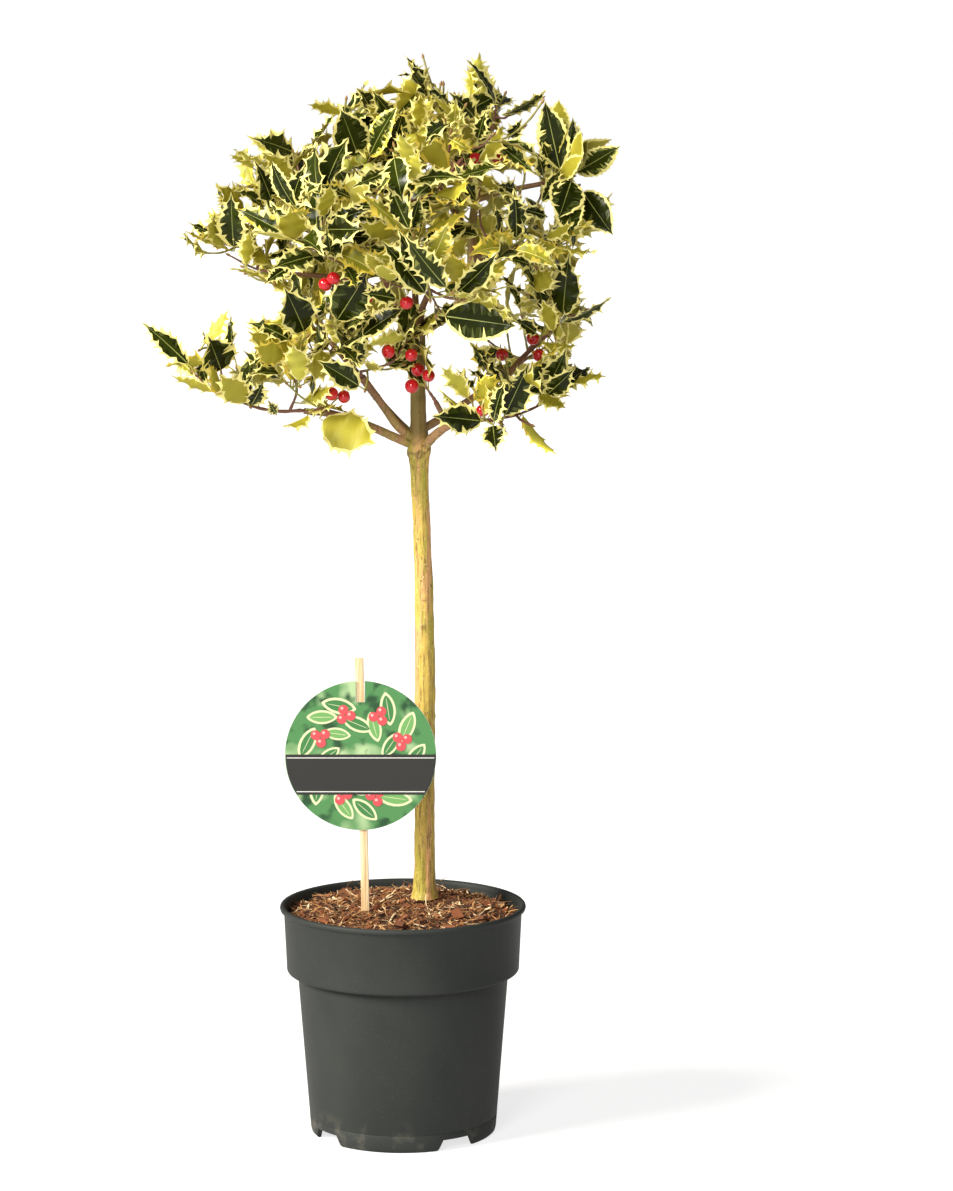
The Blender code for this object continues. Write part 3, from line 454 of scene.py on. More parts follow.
@dataclass(frozen=True)
class PlasticFinish:
    """Grey-green moulded plastic with a fine speckle, faint scuffs and a dusty foot."""

    base: Colour = (0.0305, 0.0340, 0.0322)
    pale: Colour = (0.042, 0.0455, 0.042)
    shine: float = 0.12
    speck: Colour = (0.16, 0.17, 0.155)
    dust: Colour = (0.13, 0.12, 0.095)

    def build(self) -> bpy.types.Material:
        """Makes the material."""
        shader = Shader("pot_plastic", self.base, 0.5)
        shader.surface.inputs["Specular IOR Level"].default_value = self.shine
        patches = shader.mask(14.0, 0.7, 6.0, 0.35, 0.7)
        specks = shader.mask(1300.0, 1.0, 2.0, 0.70, 0.78)
        dusty = shader.mask(60.0, 1.0, 8.0, 0.52, 0.75)
        foot = shader.height_mask(0.030, 0.004)
        low_dust = shader.nodes.new("ShaderNodeMath")
        low_dust.operation = "MULTIPLY"
        shader.links.new(foot, low_dust.inputs[0])
        shader.links.new(dusty.outputs["Mask"], low_dust.inputs[1])
        colour = shader.mix(patches.outputs["Mask"], self.base, self.pale)
        colour = shader.mix(specks.outputs["Mask"], colour, self.speck)
        shader.colour(shader.mix(low_dust.outputs["Value"], colour, self.dust))
        shader.rough(patches.outputs["Value"], 0.42, 0.62)
        shader.bump(shader.mask(900.0, 1.0, 3.0).outputs["Value"], 0.12 * MM, 0.6)
        return shader.material


@dataclass(frozen=True)
class BarkFinish:
    """Young holly bark: olive, streaked along with pinkish tan and green, browner where asked, with painted
    shade darkening the knuckle's creases.
    """

    name: str
    base: Colour
    streak: Colour
    patch: Colour
    old: Colour
    grain: Colour = (0.26, 0.165, 0.035)
    fleck: Colour = (0.82, 0.60, 0.26)
    # The dark colour of scars and pits, also laid into the knuckle's creases as painted shade.
    scar_and_crease_shade: Colour = (0.13, 0.060, 0.025)

    def build(self) -> bpy.types.Material:
        """Makes the material."""
        shader = Shader(self.name, self.base, 0.6)
        streaks = shader.mask(95.0, 0.12, 6.0, 0.48, 0.56)
        patches = shader.mask(52.0, 0.3, 5.0, 0.49, 0.56)
        grain = shader.mask(620.0, 0.08, 4.0, 0.50, 0.68)
        flecks = shader.mask(760.0, 0.7, 2.0, 0.63, 0.70)
        pits = shader.mask(420.0, 0.5, 2.0, 0.66, 0.74)
        colour = shader.mix(patches.outputs["Mask"], self.base, self.patch)
        colour = shader.mix(streaks.outputs["Mask"], colour, self.streak)
        colour = shader.mix(grain.outputs["Mask"], colour, self.grain)
        colour = shader.mix(flecks.outputs["Mask"], colour, self.fleck)
        colour = shader.mix(shader.attribute_mask("age"), colour, self.old)
        colour = shader.mix(pits.outputs["Mask"], colour, self.scar_and_crease_shade)
        # The scar mask darkens the scars and also paints shade into the knuckle's creases.
        shader.colour(shader.mix(shader.attribute_mask("scar_and_crease_shade"), colour, self.scar_and_crease_shade))
        shader.rough(patches.outputs["Value"], 0.5, 0.75)
        shader.bump(grain.outputs["Value"], 0.6 * MM, 0.8)
        shader.bump(shader.mask(300.0, 0.6, 3.0).outputs["Value"], 0.6 * MM, 0.6)
        return shader.material


@dataclass(frozen=True)
class WoodFinish:
    """A pale split stick with its grain along it."""

    base: Colour = (0.82, 0.59, 0.32)
    grain: Colour = (0.60, 0.37, 0.16)
    pale: Colour = (0.90, 0.71, 0.44)

    def build(self) -> bpy.types.Material:
        """Makes the material."""
        shader = Shader("stick_wood", self.base, 0.7)
        grain = shader.mask(700.0, 0.03, 3.0, 0.48, 0.66)
        broad = shader.mask(120.0, 0.08, 2.0, 0.45, 0.62)
        colour = shader.mix(broad.outputs["Mask"], self.base, self.pale)
        shader.colour(shader.mix(grain.outputs["Mask"], colour, self.grain))
        shader.bump(grain.outputs["Value"], 0.25 * MM, 0.6)
        return shader.material


@dataclass(frozen=True)
class CompostFinish:
    """Dark fibrous compost under the loose chips, with near-black patches of painted shade for its hollows.
    """

    base: Colour = (0.070, 0.026, 0.010)
    light: Colour = (0.20, 0.080, 0.028)
    # The near-black of the painted shade in the hollows.
    dark: Colour = (0.014, 0.007, 0.004)

    def build(self) -> bpy.types.Material:
        """Makes the material."""
        shader = Shader("compost", self.base, 0.95)
        crumbs = shader.mask(330.0, 1.0, 6.0, 0.5, 0.62)
        # Painted shade: near-black patches that stand for shade in the compost's hollows.
        painted_hollow_shade = shader.mask(140.0, 1.0, 5.0, 0.46, 0.36)
        colour = shader.mix(crumbs.outputs["Mask"], self.base, self.light)
        shader.colour(shader.mix(painted_hollow_shade.outputs["Mask"], colour, self.dark))
        shader.bump(crumbs.outputs["Value"], 2.0 * MM)
        return shader.material


@dataclass(frozen=True)
class CardFinish:
    """A glossy printed card whose ground is soft leafy green, with blurred light spots."""

    name: str = "tag_card"
    base: Colour = (0.075, 0.24, 0.075)
    light: Colour = (0.42, 0.58, 0.30)
    deep: Colour = (0.015, 0.07, 0.022)

    def build(self) -> bpy.types.Material:
        """Makes the material."""
        shader = Shader(self.name, self.base, 0.32)
        light = shader.mask(42.0, 1.0, 1.0, 0.52, 0.68)
        deep = shader.mask(60.0, 1.0, 2.0, 0.48, 0.36)
        colour = shader.mix(light.outputs["Mask"], self.base, self.light)
        shader.colour(shader.mix(deep.outputs["Mask"], colour, self.deep))
        return shader.material


# The made things

@dataclass
class Pot:
    """The moulded pot, with its collar, rolled lip, feet and the notches between them."""

    height: float = 197.2 * MM
    lip_radius: float = 105.0 * MM
    collar_top_radius: float = 101.5 * MM
    collar_foot_radius: float = 99.3 * MM
    collar_foot: float = 140.0 * MM
    body_top_radius: float = 90.0 * MM
    body_foot_radius: float = 79.6 * MM
    foot_radius: float = 77.5 * MM
    foot_height: float = 10.0 * MM
    wall: float = 1.8 * MM
    pad_radius: float = 12.0 * MM
    line_height: float = 15.0 * MM
    sides: int = 144
    notches: int = 4
    notch_angle: float = math.radians(28.0)
    notch_turn: float = math.radians(-54.0)

    def radius_at(self, height: float) -> float:
        """The body's outer radius between its foot and its collar."""
        low = 4.0 * MM
        share = (height - low) / (self.collar_foot - 2.5 * MM - low)
        return self.body_foot_radius + (self.body_top_radius - self.body_foot_radius) * share

    def profile(self) -> list[tuple[float, float]]:
        """The outline of the wall: underside, outer side, rolled lip, inner side and floor."""
        floor = self.foot_height + self.wall
        lip_foot = self.height - 7.0 * MM
        inner_collar = self.collar_foot_radius - self.wall
        collar = [
            (self.collar_foot_radius - 9.3 * MM + 4.6 * MM * (1 - math.cos(turn)),
             self.collar_foot - 2.6 * MM + 1.6 * MM * math.sin(turn))
            for turn in (0.0, 0.8, 1.5)
        ]
        rounding = [
            (self.collar_foot_radius - 2.6 * MM + 2.6 * MM * math.sin(turn),
             self.collar_foot + 2.4 * MM - 2.8 * MM * math.cos(turn))
            for turn in (0.3, 0.8, 1.2, 1.57)
        ]
        lip = [
            (self.lip_radius - 1.9 * MM + 1.9 * MM * math.cos(turn),
             lip_foot + 4.6 * MM + 2.4 * MM * math.sin(turn))
            for turn in (-1.3, -0.7, 0.0, 0.6, 1.1, 1.57)
        ]
        groove = self.radius_at(self.line_height)
        return [
            (0.0, 0.0),
            (self.pad_radius, 0.0),
            (self.pad_radius + 1.5 * MM, self.foot_height),
            (self.foot_radius - 2.6 * MM, self.foot_height),
            (self.foot_radius - 2.4 * MM, 0.0),
            (self.foot_radius - 0.4 * MM, 0.0),
            (self.foot_radius + 0.3 * MM, 0.3 * MM),
            (self.body_foot_radius - 0.6 * MM, 1.4 * MM),
            (self.body_foot_radius, 4.0 * MM),
            (groove, self.line_height - 0.5 * MM),
            (groove - 0.35 * MM, self.line_height),
            (groove, self.line_height + 0.5 * MM),
            *collar,
            *rounding,
            (self.collar_foot_radius + 0.1 * MM, self.collar_foot + 6.0 * MM),
            (self.collar_top_radius, lip_foot),
            *lip,
            (self.collar_top_radius - 0.3 * MM, self.height - 0.3 * MM),
            (self.collar_top_radius - self.wall + 0.4 * MM, self.height - 1.5 * MM),
            (self.collar_top_radius - self.wall, lip_foot + 3.0 * MM),
            (inner_collar, self.collar_foot + 6.0 * MM),
            (inner_collar - 1.4 * MM, self.collar_foot + 2.8 * MM),
            (self.body_top_radius - self.wall, self.collar_foot - 0.8 * MM),
            (self.body_foot_radius - self.wall, floor),
            (0.0, floor),
        ]

    def notch(self, number: int) -> bmesh.types.BMesh:
        """The block that cuts one notch with sloped sides."""
        cutter = bmesh.new()
        bmesh.ops.create_cube(cutter, size=1.0)
        half_width = self.foot_radius * math.tan(self.notch_angle / 2)
        reach = 9.0 * MM
        for vert in cutter.verts:
            narrow = 0.72 if vert.co.z > 0 else 1.0
            vert.co = Vector((
                self.foot_radius + (reach if vert.co.x > 0 else -reach),
                vert.co.y * 2 * half_width * narrow,
                self.foot_height - 0.4 * MM if vert.co.z > 0 else -2.0 * MM,
            ))
        turn = Matrix.Rotation(self.notch_turn + math.tau * number / self.notches, 4, "Z")
        bmesh.ops.transform(cutter, matrix=turn, verts=cutter.verts)
        return cutter

    def build(self) -> None:
        """Makes the pot and cuts its notches."""
        finish = PlasticFinish().build()
        body = object_from("pot_body", turned(self.profile(), self.sides), [finish])
        group = bpy.data.collections.new("notches")
        bpy.context.scene.collection.children.link(group)
        for number in range(self.notches):
            cutter = object_from("notch", self.notch(number), [finish])
            bpy.context.scene.collection.objects.unlink(cutter)
            group.objects.link(cutter)
        step = body.modifiers.new("notches", "BOOLEAN")
        step.operation = "DIFFERENCE"
        step.operand_type = "COLLECTION"
        step.collection = group
        bpy.context.view_layer.update()
        graph = bpy.context.evaluated_depsgraph_get()
        mesh = bpy.data.meshes.new_from_object(body.evaluated_get(graph))
        body.modifiers.clear()
        body.data = mesh
        mesh.shade_smooth()
        mesh.set_sharp_from_angle(angle=math.radians(40.0))
        for cutter in list(group.objects):
            bpy.data.objects.remove(cutter)
        bpy.data.collections.remove(group)
        placed(body, "pot_plastic", ["pot"])


CHIP_FINISHES = (
    PlainFinish("chip_dark", (0.042, 0.014, 0.005), 0.9),
    PlainFinish("chip_brown", (0.135, 0.046, 0.015), 0.85),
    PlainFinish("chip_red", (0.240, 0.075, 0.024), 0.8),
    PlainFinish("fibre_brown", (0.290, 0.120, 0.038), 0.85),
    PlainFinish("fibre_tan", (0.520, 0.280, 0.105), 0.8),
    PlainFinish("fibre_pale", (0.880, 0.670, 0.390), 0.8),
)


@dataclass(frozen=True)
class Loose:
    """One sort of loose piece: how many, how long in millimetres, how slim, and the finishes it is dealt."""

    count: int
    least: float
    most: float
    slim: float
    slots: tuple[int, ...]


@dataclass
class Compost:
    """The filled pot's compost: a rough mound with bark chips and coir fibres loose on it."""

    pot: Pot
    top: float = 197.5 * MM
    edge: float = 186.0 * MM
    level_radius: float = 50.0 * MM
    gap: float = 0.4 * MM
    sides: int = 128
    rings: int = 34
    sunk: float = 1.2 * MM
    stem_foot: Vector = field(default_factory=lambda: Vector((18.0, 22.0, 0.0)) * MM)
    stem_clear: float = 13.0 * MM
    pieces: tuple[Loose, ...] = (
        Loose(700, 2.0, 5.0, 1.0, (0, 0, 1, 1, 2, 3)),
        Loose(170, 5.0, 10.0, 1.0, (0, 1, 1, 2)),
        Loose(30, 10.0, 18.0, 1.0, (1, 2, 2)),
        Loose(1100, 5.0, 14.0, 0.28, (0, 1, 2, 3, 3, 4, 4, 5)),
    )
    fibres: Loose = Loose(1000, 5.0, 17.0, 1.0, (3, 3, 4, 4, 5))
    seed: int = 5

    def height_at(self, radius: float) -> float:
        """The mound's height at a distance from the axis, before it is roughened."""
        if radius < self.level_radius:
            return self.top - self.sunk
        share = (radius - self.level_radius) / (self.edge_radius() - self.level_radius)
        return self.top - self.sunk + (self.edge - self.top + self.sunk) * share ** 1.6

    def edge_radius(self) -> float:
        """How far the compost reaches inside the collar."""
        return self.pot.collar_top_radius - self.pot.wall - self.gap - 0.3 * MM

    def rough_at(self, place: Vector) -> float:
        """How far the roughened surface stands over the mound at a place."""
        lumps = noise.noise(place * 55.0) * 2.4 + noise.noise(place * 160.0) * 1.5
        return (lumps + noise.noise(place * 420.0) * 0.8) * MM

    def ground(self) -> bmesh.types.BMesh:
        """The body of compost, with a finely divided and roughened top."""
        pot = self.pot
        inner_collar = pot.collar_foot_radius - pot.wall - self.gap
        floor = pot.foot_height + pot.wall + self.gap
        edge = self.edge_radius()
        top = [
            (edge * (1 - step / self.rings), self.height_at(edge * (1 - step / self.rings)))
            for step in range(self.rings)
        ]
        profile = [
            (0.0, floor),
            (pot.body_foot_radius - pot.wall - self.gap, floor),
            (pot.body_top_radius - pot.wall - self.gap, pot.collar_foot - 0.8 * MM + self.gap),
            (inner_collar - 1.4 * MM, pot.collar_foot + 2.8 * MM + self.gap),
            (inner_collar, pot.collar_foot + 6.0 * MM + self.gap),
            *top,
            (0.0, self.height_at(0.0)),
        ]
        shape = turned(profile, self.sides)
        for vert in shape.verts:
            radius = math.hypot(vert.co.x, vert.co.y)
            if vert.co.z > self.edge - 2.0 * MM and radius < edge * 0.998:
                vert.co.z += self.rough_at(Vector((vert.co.x, vert.co.y, 0.0)))
        return shape

    def scatter(self, draw: random.Random) -> Vector:
        """A place on the surface of the compost, clear of the stem's foot."""
        while True:
            radius = (self.edge_radius() - 3.0 * MM) * math.sqrt(draw.random())
            around = draw.uniform(0, math.tau)
            place = Vector((radius * math.cos(around), radius * math.sin(around), 0.0))
            if (place - self.stem_foot).length > self.stem_clear:
                return place + UP * (self.height_at(radius) + self.rough_at(place))

    def kept_in(self, shape: bmesh.types.BMesh) -> bmesh.types.BMesh:
        """The same loose piece, moved inward if it would reach into the pot's wall."""
        widest = max(shape.verts, key=lambda vert: vert.co.xy.length)
        over = widest.co.xy.length - self.edge_radius()
        if over > 0:
            inward = widest.co.xy.normalized() * -over
            bmesh.ops.translate(shape, vec=(inward.x, inward.y, 0.0), verts=shape.verts)
        return shape

    def chip(self, draw: random.Random, size: float, slim: float = 1.0) -> bmesh.types.BMesh:
        """A flat broken chip of bark, or a shred if it is made slim."""
        shape = bmesh.new()
        bmesh.ops.create_cube(shape, size=1.0)
        lengths = (size, size * draw.uniform(0.35, 0.7) * slim, size * draw.uniform(0.12, 0.3) * slim)
        for vert in shape.verts:
            vert.co = Vector(vert.co[axis] * lengths[axis] * draw.uniform(0.6, 1.1) for axis in range(3))
        turn = Euler((draw.gauss(0, 0.4), draw.gauss(0, 0.4), draw.uniform(0, math.tau))).to_matrix()
        move = Matrix.Translation(self.scatter(draw) + UP * lengths[2] * (0.2 + 0.6 * (1 - slim)))
        bmesh.ops.transform(shape, matrix=move @ turn.to_4x4(), verts=shape.verts)
        return self.kept_in(shape)

    def fibre(self, draw: random.Random) -> bmesh.types.BMesh:
        """A thin curled strand of coir."""
        length = draw.uniform(self.fibres.least, self.fibres.most) * MM
        start = self.scatter(draw)
        way = Vector((draw.gauss(0, 1), draw.gauss(0, 1), draw.uniform(-0.1, 0.35))).normalized()
        curl = Vector((draw.gauss(0, 1), draw.gauss(0, 1), draw.uniform(-0.6, 0.2))) * length * 0.3
        path = [
            start + way * length * share + curl * math.sin(math.pi * share)
            for share in (0, 0.35, 0.7, 1)
        ]
        radius = draw.uniform(0.18, 0.42) * MM
        return self.kept_in(tube(path, [radius * share for share in (0.7, 1.0, 0.9, 0.5)], 3))

    def build(self) -> None:
        """Makes the compost and what lies on it."""
        draw = random.Random(self.seed)
        ground = object_from("compost_bed", self.ground(), [CompostFinish().build()], 60.0)
        placed(ground, "compost", ["soil"])
        loose = Gathered()
        for sort in self.pieces:
            for _ in range(sort.count):
                chip = self.chip(draw, draw.uniform(sort.least, sort.most) * MM, sort.slim)
                loose.add_shape(chip, draw.choice(sort.slots))
        for _ in range(self.fibres.count):
            loose.add_shape(self.fibre(draw), draw.choice(self.fibres.slots))
        finishes = [finish.build() for finish in CHIP_FINISHES]
        placed(loose.build("compost_chips", finishes, 30.0), "compost")


PRINT_FINISHES = (
    CardFinish(),
    PlainFinish("print_cream", (0.66, 0.70, 0.42), 0.32),
    PlainFinish("print_green", (0.050, 0.20, 0.055), 0.32),
    PlainFinish("print_fresh", (0.16, 0.38, 0.11), 0.32),
    PlainFinish("print_rose", (0.62, 0.075, 0.085), 0.32),
    PlainFinish("print_blush", (0.86, 0.42, 0.40), 0.32),
    PlainFinish("print_slate", (0.022, 0.021, 0.019), 0.35),
    PlainFinish("print_white", (0.80, 0.80, 0.76), 0.35),
    PlainFinish("card_back", (0.74, 0.73, 0.68), 0.5),
)
(GROUND_INK, CREAM_INK, GREEN_INK, FRESH_INK, ROSE_INK, BLUSH_INK, SLATE_INK, WHITE_INK,
 BARE_CARD) = range(len(PRINT_FINISHES))


@dataclass
class Tag:
    """The round card in front of its wooden stick, printed with a plain wreath of leaves and dots."""

    centre: Vector = field(default_factory=lambda: Vector((-34.6, -33.2, 331.0)) * MM)
    radius: float = 63.6 * MM
    thickness: float = 0.9 * MM
    notch_depth: float = 18.0 * MM
    print_rise: float = 0.05 * MM
    stick_width: float = 7.0 * MM
    stick_thickness: float = 2.6 * MM
    stick_foot: Vector = field(default_factory=lambda: Vector((-31.0, -31.0, 0.0)) * MM)
    stick_lean: float = math.radians(-1.2)
    stick_top: float = 413.5 * MM
    ground: float = 197.8 * MM
    lean_level: float = 197.5 * MM
    leaf_rings: tuple[tuple[int, float, float], ...] = ((13, 46.0, 30.0), (9, 27.0, 27.0))
    leaf_slant: float = math.radians(58.0)
    leaf_steps: int = 20
    leaf_point: float = 1.5
    slot_clear: tuple[float, float] = (13.0 * MM, 28.0 * MM)
    bunches: int = 8
    bunch_reach: float = 37.0 * MM
    dots: int = 3
    dot_spread: float = 4.6 * MM
    dot_size: float = 8.4 * MM
    glint_size: float = 2.6 * MM
    glint_offset: tuple[float, float] = (-1.2 * MM, 1.4 * MM)
    band_edges: tuple[float, float] = (-33.0 * MM, 1.0 * MM)
    line_heights: tuple[float, float] = (-30.6, -1.8)
    line_half: float = 0.35
    sides: int = 128
    seed: int = 9

    def card(self) -> bmesh.types.BMesh:
        """The disc with a slot at its top for the stick."""
        shape = bmesh.new()
        bmesh.ops.create_circle(shape, cap_ends=True, radius=self.radius, segments=self.sides)
        half = self.stick_width / 2 + 0.3 * MM
        for vert in shape.verts:
            if abs(vert.co.x) < half * 1.2 and vert.co.y > 0:
                vert.co.x = math.copysign(half, vert.co.x)
        slotted = {vert for vert in shape.verts if abs(abs(vert.co.x) - half) < 1e-6 and vert.co.y > 0}
        across = [
            edge for edge in shape.edges
            if slotted.issuperset(edge.verts) and edge.verts[0].co.x * edge.verts[1].co.x < 0
        ]
        bmesh.ops.subdivide_edges(shape, edges=across, cuts=2)
        inner = sorted(shape.verts, key=lambda vert: abs(vert.co.x) + (vert.co.y < 0))[:2]
        for vert, side in zip(sorted(inner, key=lambda vert: vert.co.x), (-1, 1)):
            vert.co = Vector((side * half, self.radius - self.notch_depth, 0.0))
        grown = bmesh.ops.extrude_face_region(shape, geom=shape.faces[:])["geom"]
        moving = [item for item in grown if isinstance(item, bmesh.types.BMVert)]
        bmesh.ops.translate(shape, vec=UP * self.thickness, verts=moving)
        bmesh.ops.translate(shape, vec=UP * self.thickness * -0.5, verts=shape.verts)
        bmesh.ops.recalc_face_normals(shape, faces=shape.faces)
        return shape

    def upright(self) -> Matrix:
        """The turn that stands the card up to face the front."""
        return Matrix.Translation(self.centre) @ Matrix.Rotation(math.radians(90.0), 4, "X")

    def patch(self, outline: Sequence[tuple[float, float]], layer: int) -> bmesh.types.BMesh:
        """A flat printed shape on the card's face, over the layers before it."""
        shape = bmesh.new()
        rise = self.thickness * 0.5 + self.print_rise * layer
        face = shape.faces.new([shape.verts.new((x, y, self.thickness * 0.5)) for x, y in outline])
        grown = bmesh.ops.extrude_face_region(shape, geom=[face])["geom"]
        moving = [item for item in grown if isinstance(item, bmesh.types.BMVert)]
        bmesh.ops.translate(shape, vec=UP * (rise - self.thickness * 0.5), verts=moving)
        bmesh.ops.recalc_face_normals(shape, faces=shape.faces)
        bmesh.ops.transform(shape, matrix=self.upright(), verts=shape.verts)
        return shape

    def oval(self, x: float, y: float, long: float, wide: float, turn: float, steps: int = 16,
             pointed: float = 1.0) -> list[tuple[float, float]]:
        """An oval or pointed outline about a place on the card."""
        outline = []
        for step in range(steps):
            around = math.tau * step / steps
            across = math.sin(around) * abs(math.sin(around)) ** (pointed - 1.0)
            along, side = math.cos(around) * long / 2, across * wide / 2
            outline.append((
                x + along * math.cos(turn) - side * math.sin(turn),
                y + along * math.sin(turn) + side * math.cos(turn),
            ))
        return outline

    def band(self, low: float, high: float, reach: float) -> list[tuple[float, float]]:
        """A straight band across the card, its ends on a circle of that reach."""
        outline = []
        for side in (-1, 1):
            for step in range(9):
                height = low + (high - low) * (step if side > 0 else 8 - step) / 8
                outline.append((side * math.sqrt(reach ** 2 - height ** 2), height))
        return outline

    def build(self) -> None:
        """Makes the card, its print and the stick."""
        draw = random.Random(self.seed)
        printed = Gathered()
        card = self.card()
        card.normal_update()
        face = max((face for face in card.faces if face.normal.z > 0.5), key=lambda face: face.calc_area())
        printed.add_shape(self.patch([tuple(vert.co.xy * 0.998) for vert in face.verts], 1), GROUND_INK)
        bmesh.ops.transform(card, matrix=self.upright(), verts=card.verts)
        printed.add_shape(card, BARE_CARD)
        reach = self.radius - 0.6 * MM
        self.print_leaves(printed, draw, reach)
        self.print_dots(printed)
        printed.add_shape(self.patch(self.band(*self.band_edges, reach), 14), SLATE_INK)
        for height in self.line_heights:
            low, high = (height - self.line_half) * MM, (height + self.line_half) * MM
            printed.add_shape(self.patch(self.band(low, high, reach - 1.0 * MM), 15), WHITE_INK)
        finishes = [finish.build() for finish in PRINT_FINISHES]
        placed(printed.build("tag_card", finishes), "tag_card", ["tag"])
        self.build_stick()

    def print_leaves(self, printed: Gathered, draw: random.Random, reach: float) -> None:
        """The rings of outlined leaves, clear of the card's slot."""
        for ring, (count, radius, size) in enumerate(self.leaf_rings):
            for number in range(count):
                around = math.tau * (number + 0.5 * ring) / count + draw.uniform(-0.1, 0.1)
                x, y = radius * MM * math.cos(around), radius * MM * math.sin(around)
                turn = around + self.leaf_slant + draw.uniform(-0.4, 0.4)
                long = min(size * MM * draw.uniform(0.85, 1.05), 2 * (reach - radius * MM) + 12.0 * MM)
                if abs(x) < self.slot_clear[0] and y > self.slot_clear[1]:
                    continue
                layer = 2 + number % 3
                inks = (CREAM_INK, GREEN_INK if number % 2 == 0 else FRESH_INK)
                for level, (share, slim) in enumerate(((1.0, 0.46), (0.8, 0.31))):
                    blade = self.oval(x, y, long * share, long * slim, turn, self.leaf_steps, self.leaf_point)
                    printed.add_shape(self.patch(blade, layer + 3 * level), inks[level])
                rib = self.oval(x, y, long * 0.74, 0.5 * MM, turn, 8)
                printed.add_shape(self.patch(rib, layer + 4), CREAM_INK)

    def print_dots(self, printed: Gathered) -> None:
        """The bunches of round dots, each dot with a glint."""
        for number in range(self.bunches):
            around = math.tau * number / self.bunches + 0.35
            for dot in range(self.dots):
                about = around + dot * 2.1
                x = self.bunch_reach * math.cos(around) + self.dot_spread * math.cos(about)
                y = self.bunch_reach * math.sin(around) + self.dot_spread * math.sin(about)
                spot = self.oval(x, y, self.dot_size, self.dot_size, 0.0)
                printed.add_shape(self.patch(spot, 9 + dot), ROSE_INK)
                glint = self.oval(x + self.glint_offset[0], y + self.glint_offset[1], self.glint_size,
                                  self.glint_size, 0.0, 10)
                printed.add_shape(self.patch(glint, 13), BLUSH_INK)

    def build_stick(self) -> None:
        """The split stick: a long bar with rounded edges and a blunt cut top."""
        shape = bmesh.new()
        bmesh.ops.create_cube(shape, size=1.0)
        bmesh.ops.scale(shape, vec=(self.stick_width, self.stick_thickness, self.stick_top - self.ground),
                        verts=shape.verts)
        long_edges = [edge for edge in shape.edges if abs(edge.verts[0].co.z - edge.verts[1].co.z) > 0.1]
        bmesh.ops.bevel(shape, geom=long_edges, offset=0.8 * MM, segments=3, profile=0.5, affect="EDGES",
                        material=-1)
        rungs = [edge for edge in shape.edges if abs(edge.verts[0].co.z - edge.verts[1].co.z) > 0.1]
        bmesh.ops.subdivide_edges(shape, edges=rungs, cuts=40, use_grid_fill=True)
        middle = (self.stick_top + self.ground) / 2
        slope = math.tan(self.stick_lean)
        for vert in shape.verts:
            height = vert.co.z + middle
            rough = noise.noise(Vector((vert.co.x * 300, vert.co.y * 300, height * 25))) * 0.12 * MM
            vert.co.x += self.stick_foot.x + (height - self.lean_level) * slope + rough
            vert.co.y += self.stick_foot.y
            vert.co.z = height
        stick = object_from("tag_stick_wood", shape, [WoodFinish().build()])
        placed(stick, "stick_wood", ["tag_stick"])


# The limbs

@dataclass(frozen=True)
class Bough:
    """One tapering limb: its radii at root and tip and the places that it runs through, in millimetres."""

    name: str
    root: float
    tip: float
    age: float
    through: tuple[Place, ...]


@dataclass(frozen=True)
class Spray:
    """One mass of foliage: the bough that it grows on from, its stem, named shoots and berries."""

    name: str
    bough: str
    seed: int
    stem: tuple[Place, ...]
    shoots: tuple[tuple[Place, ...], ...] = ()
    berries: tuple[Place, ...] = ()
    side_shoots: int = 4
    # The share of leaves dealt the dark tint. It is raised on the right-hand sprays partly for their darker
    # leaves and partly as painted shade on that side of the crown.
    dark: float = 0.50


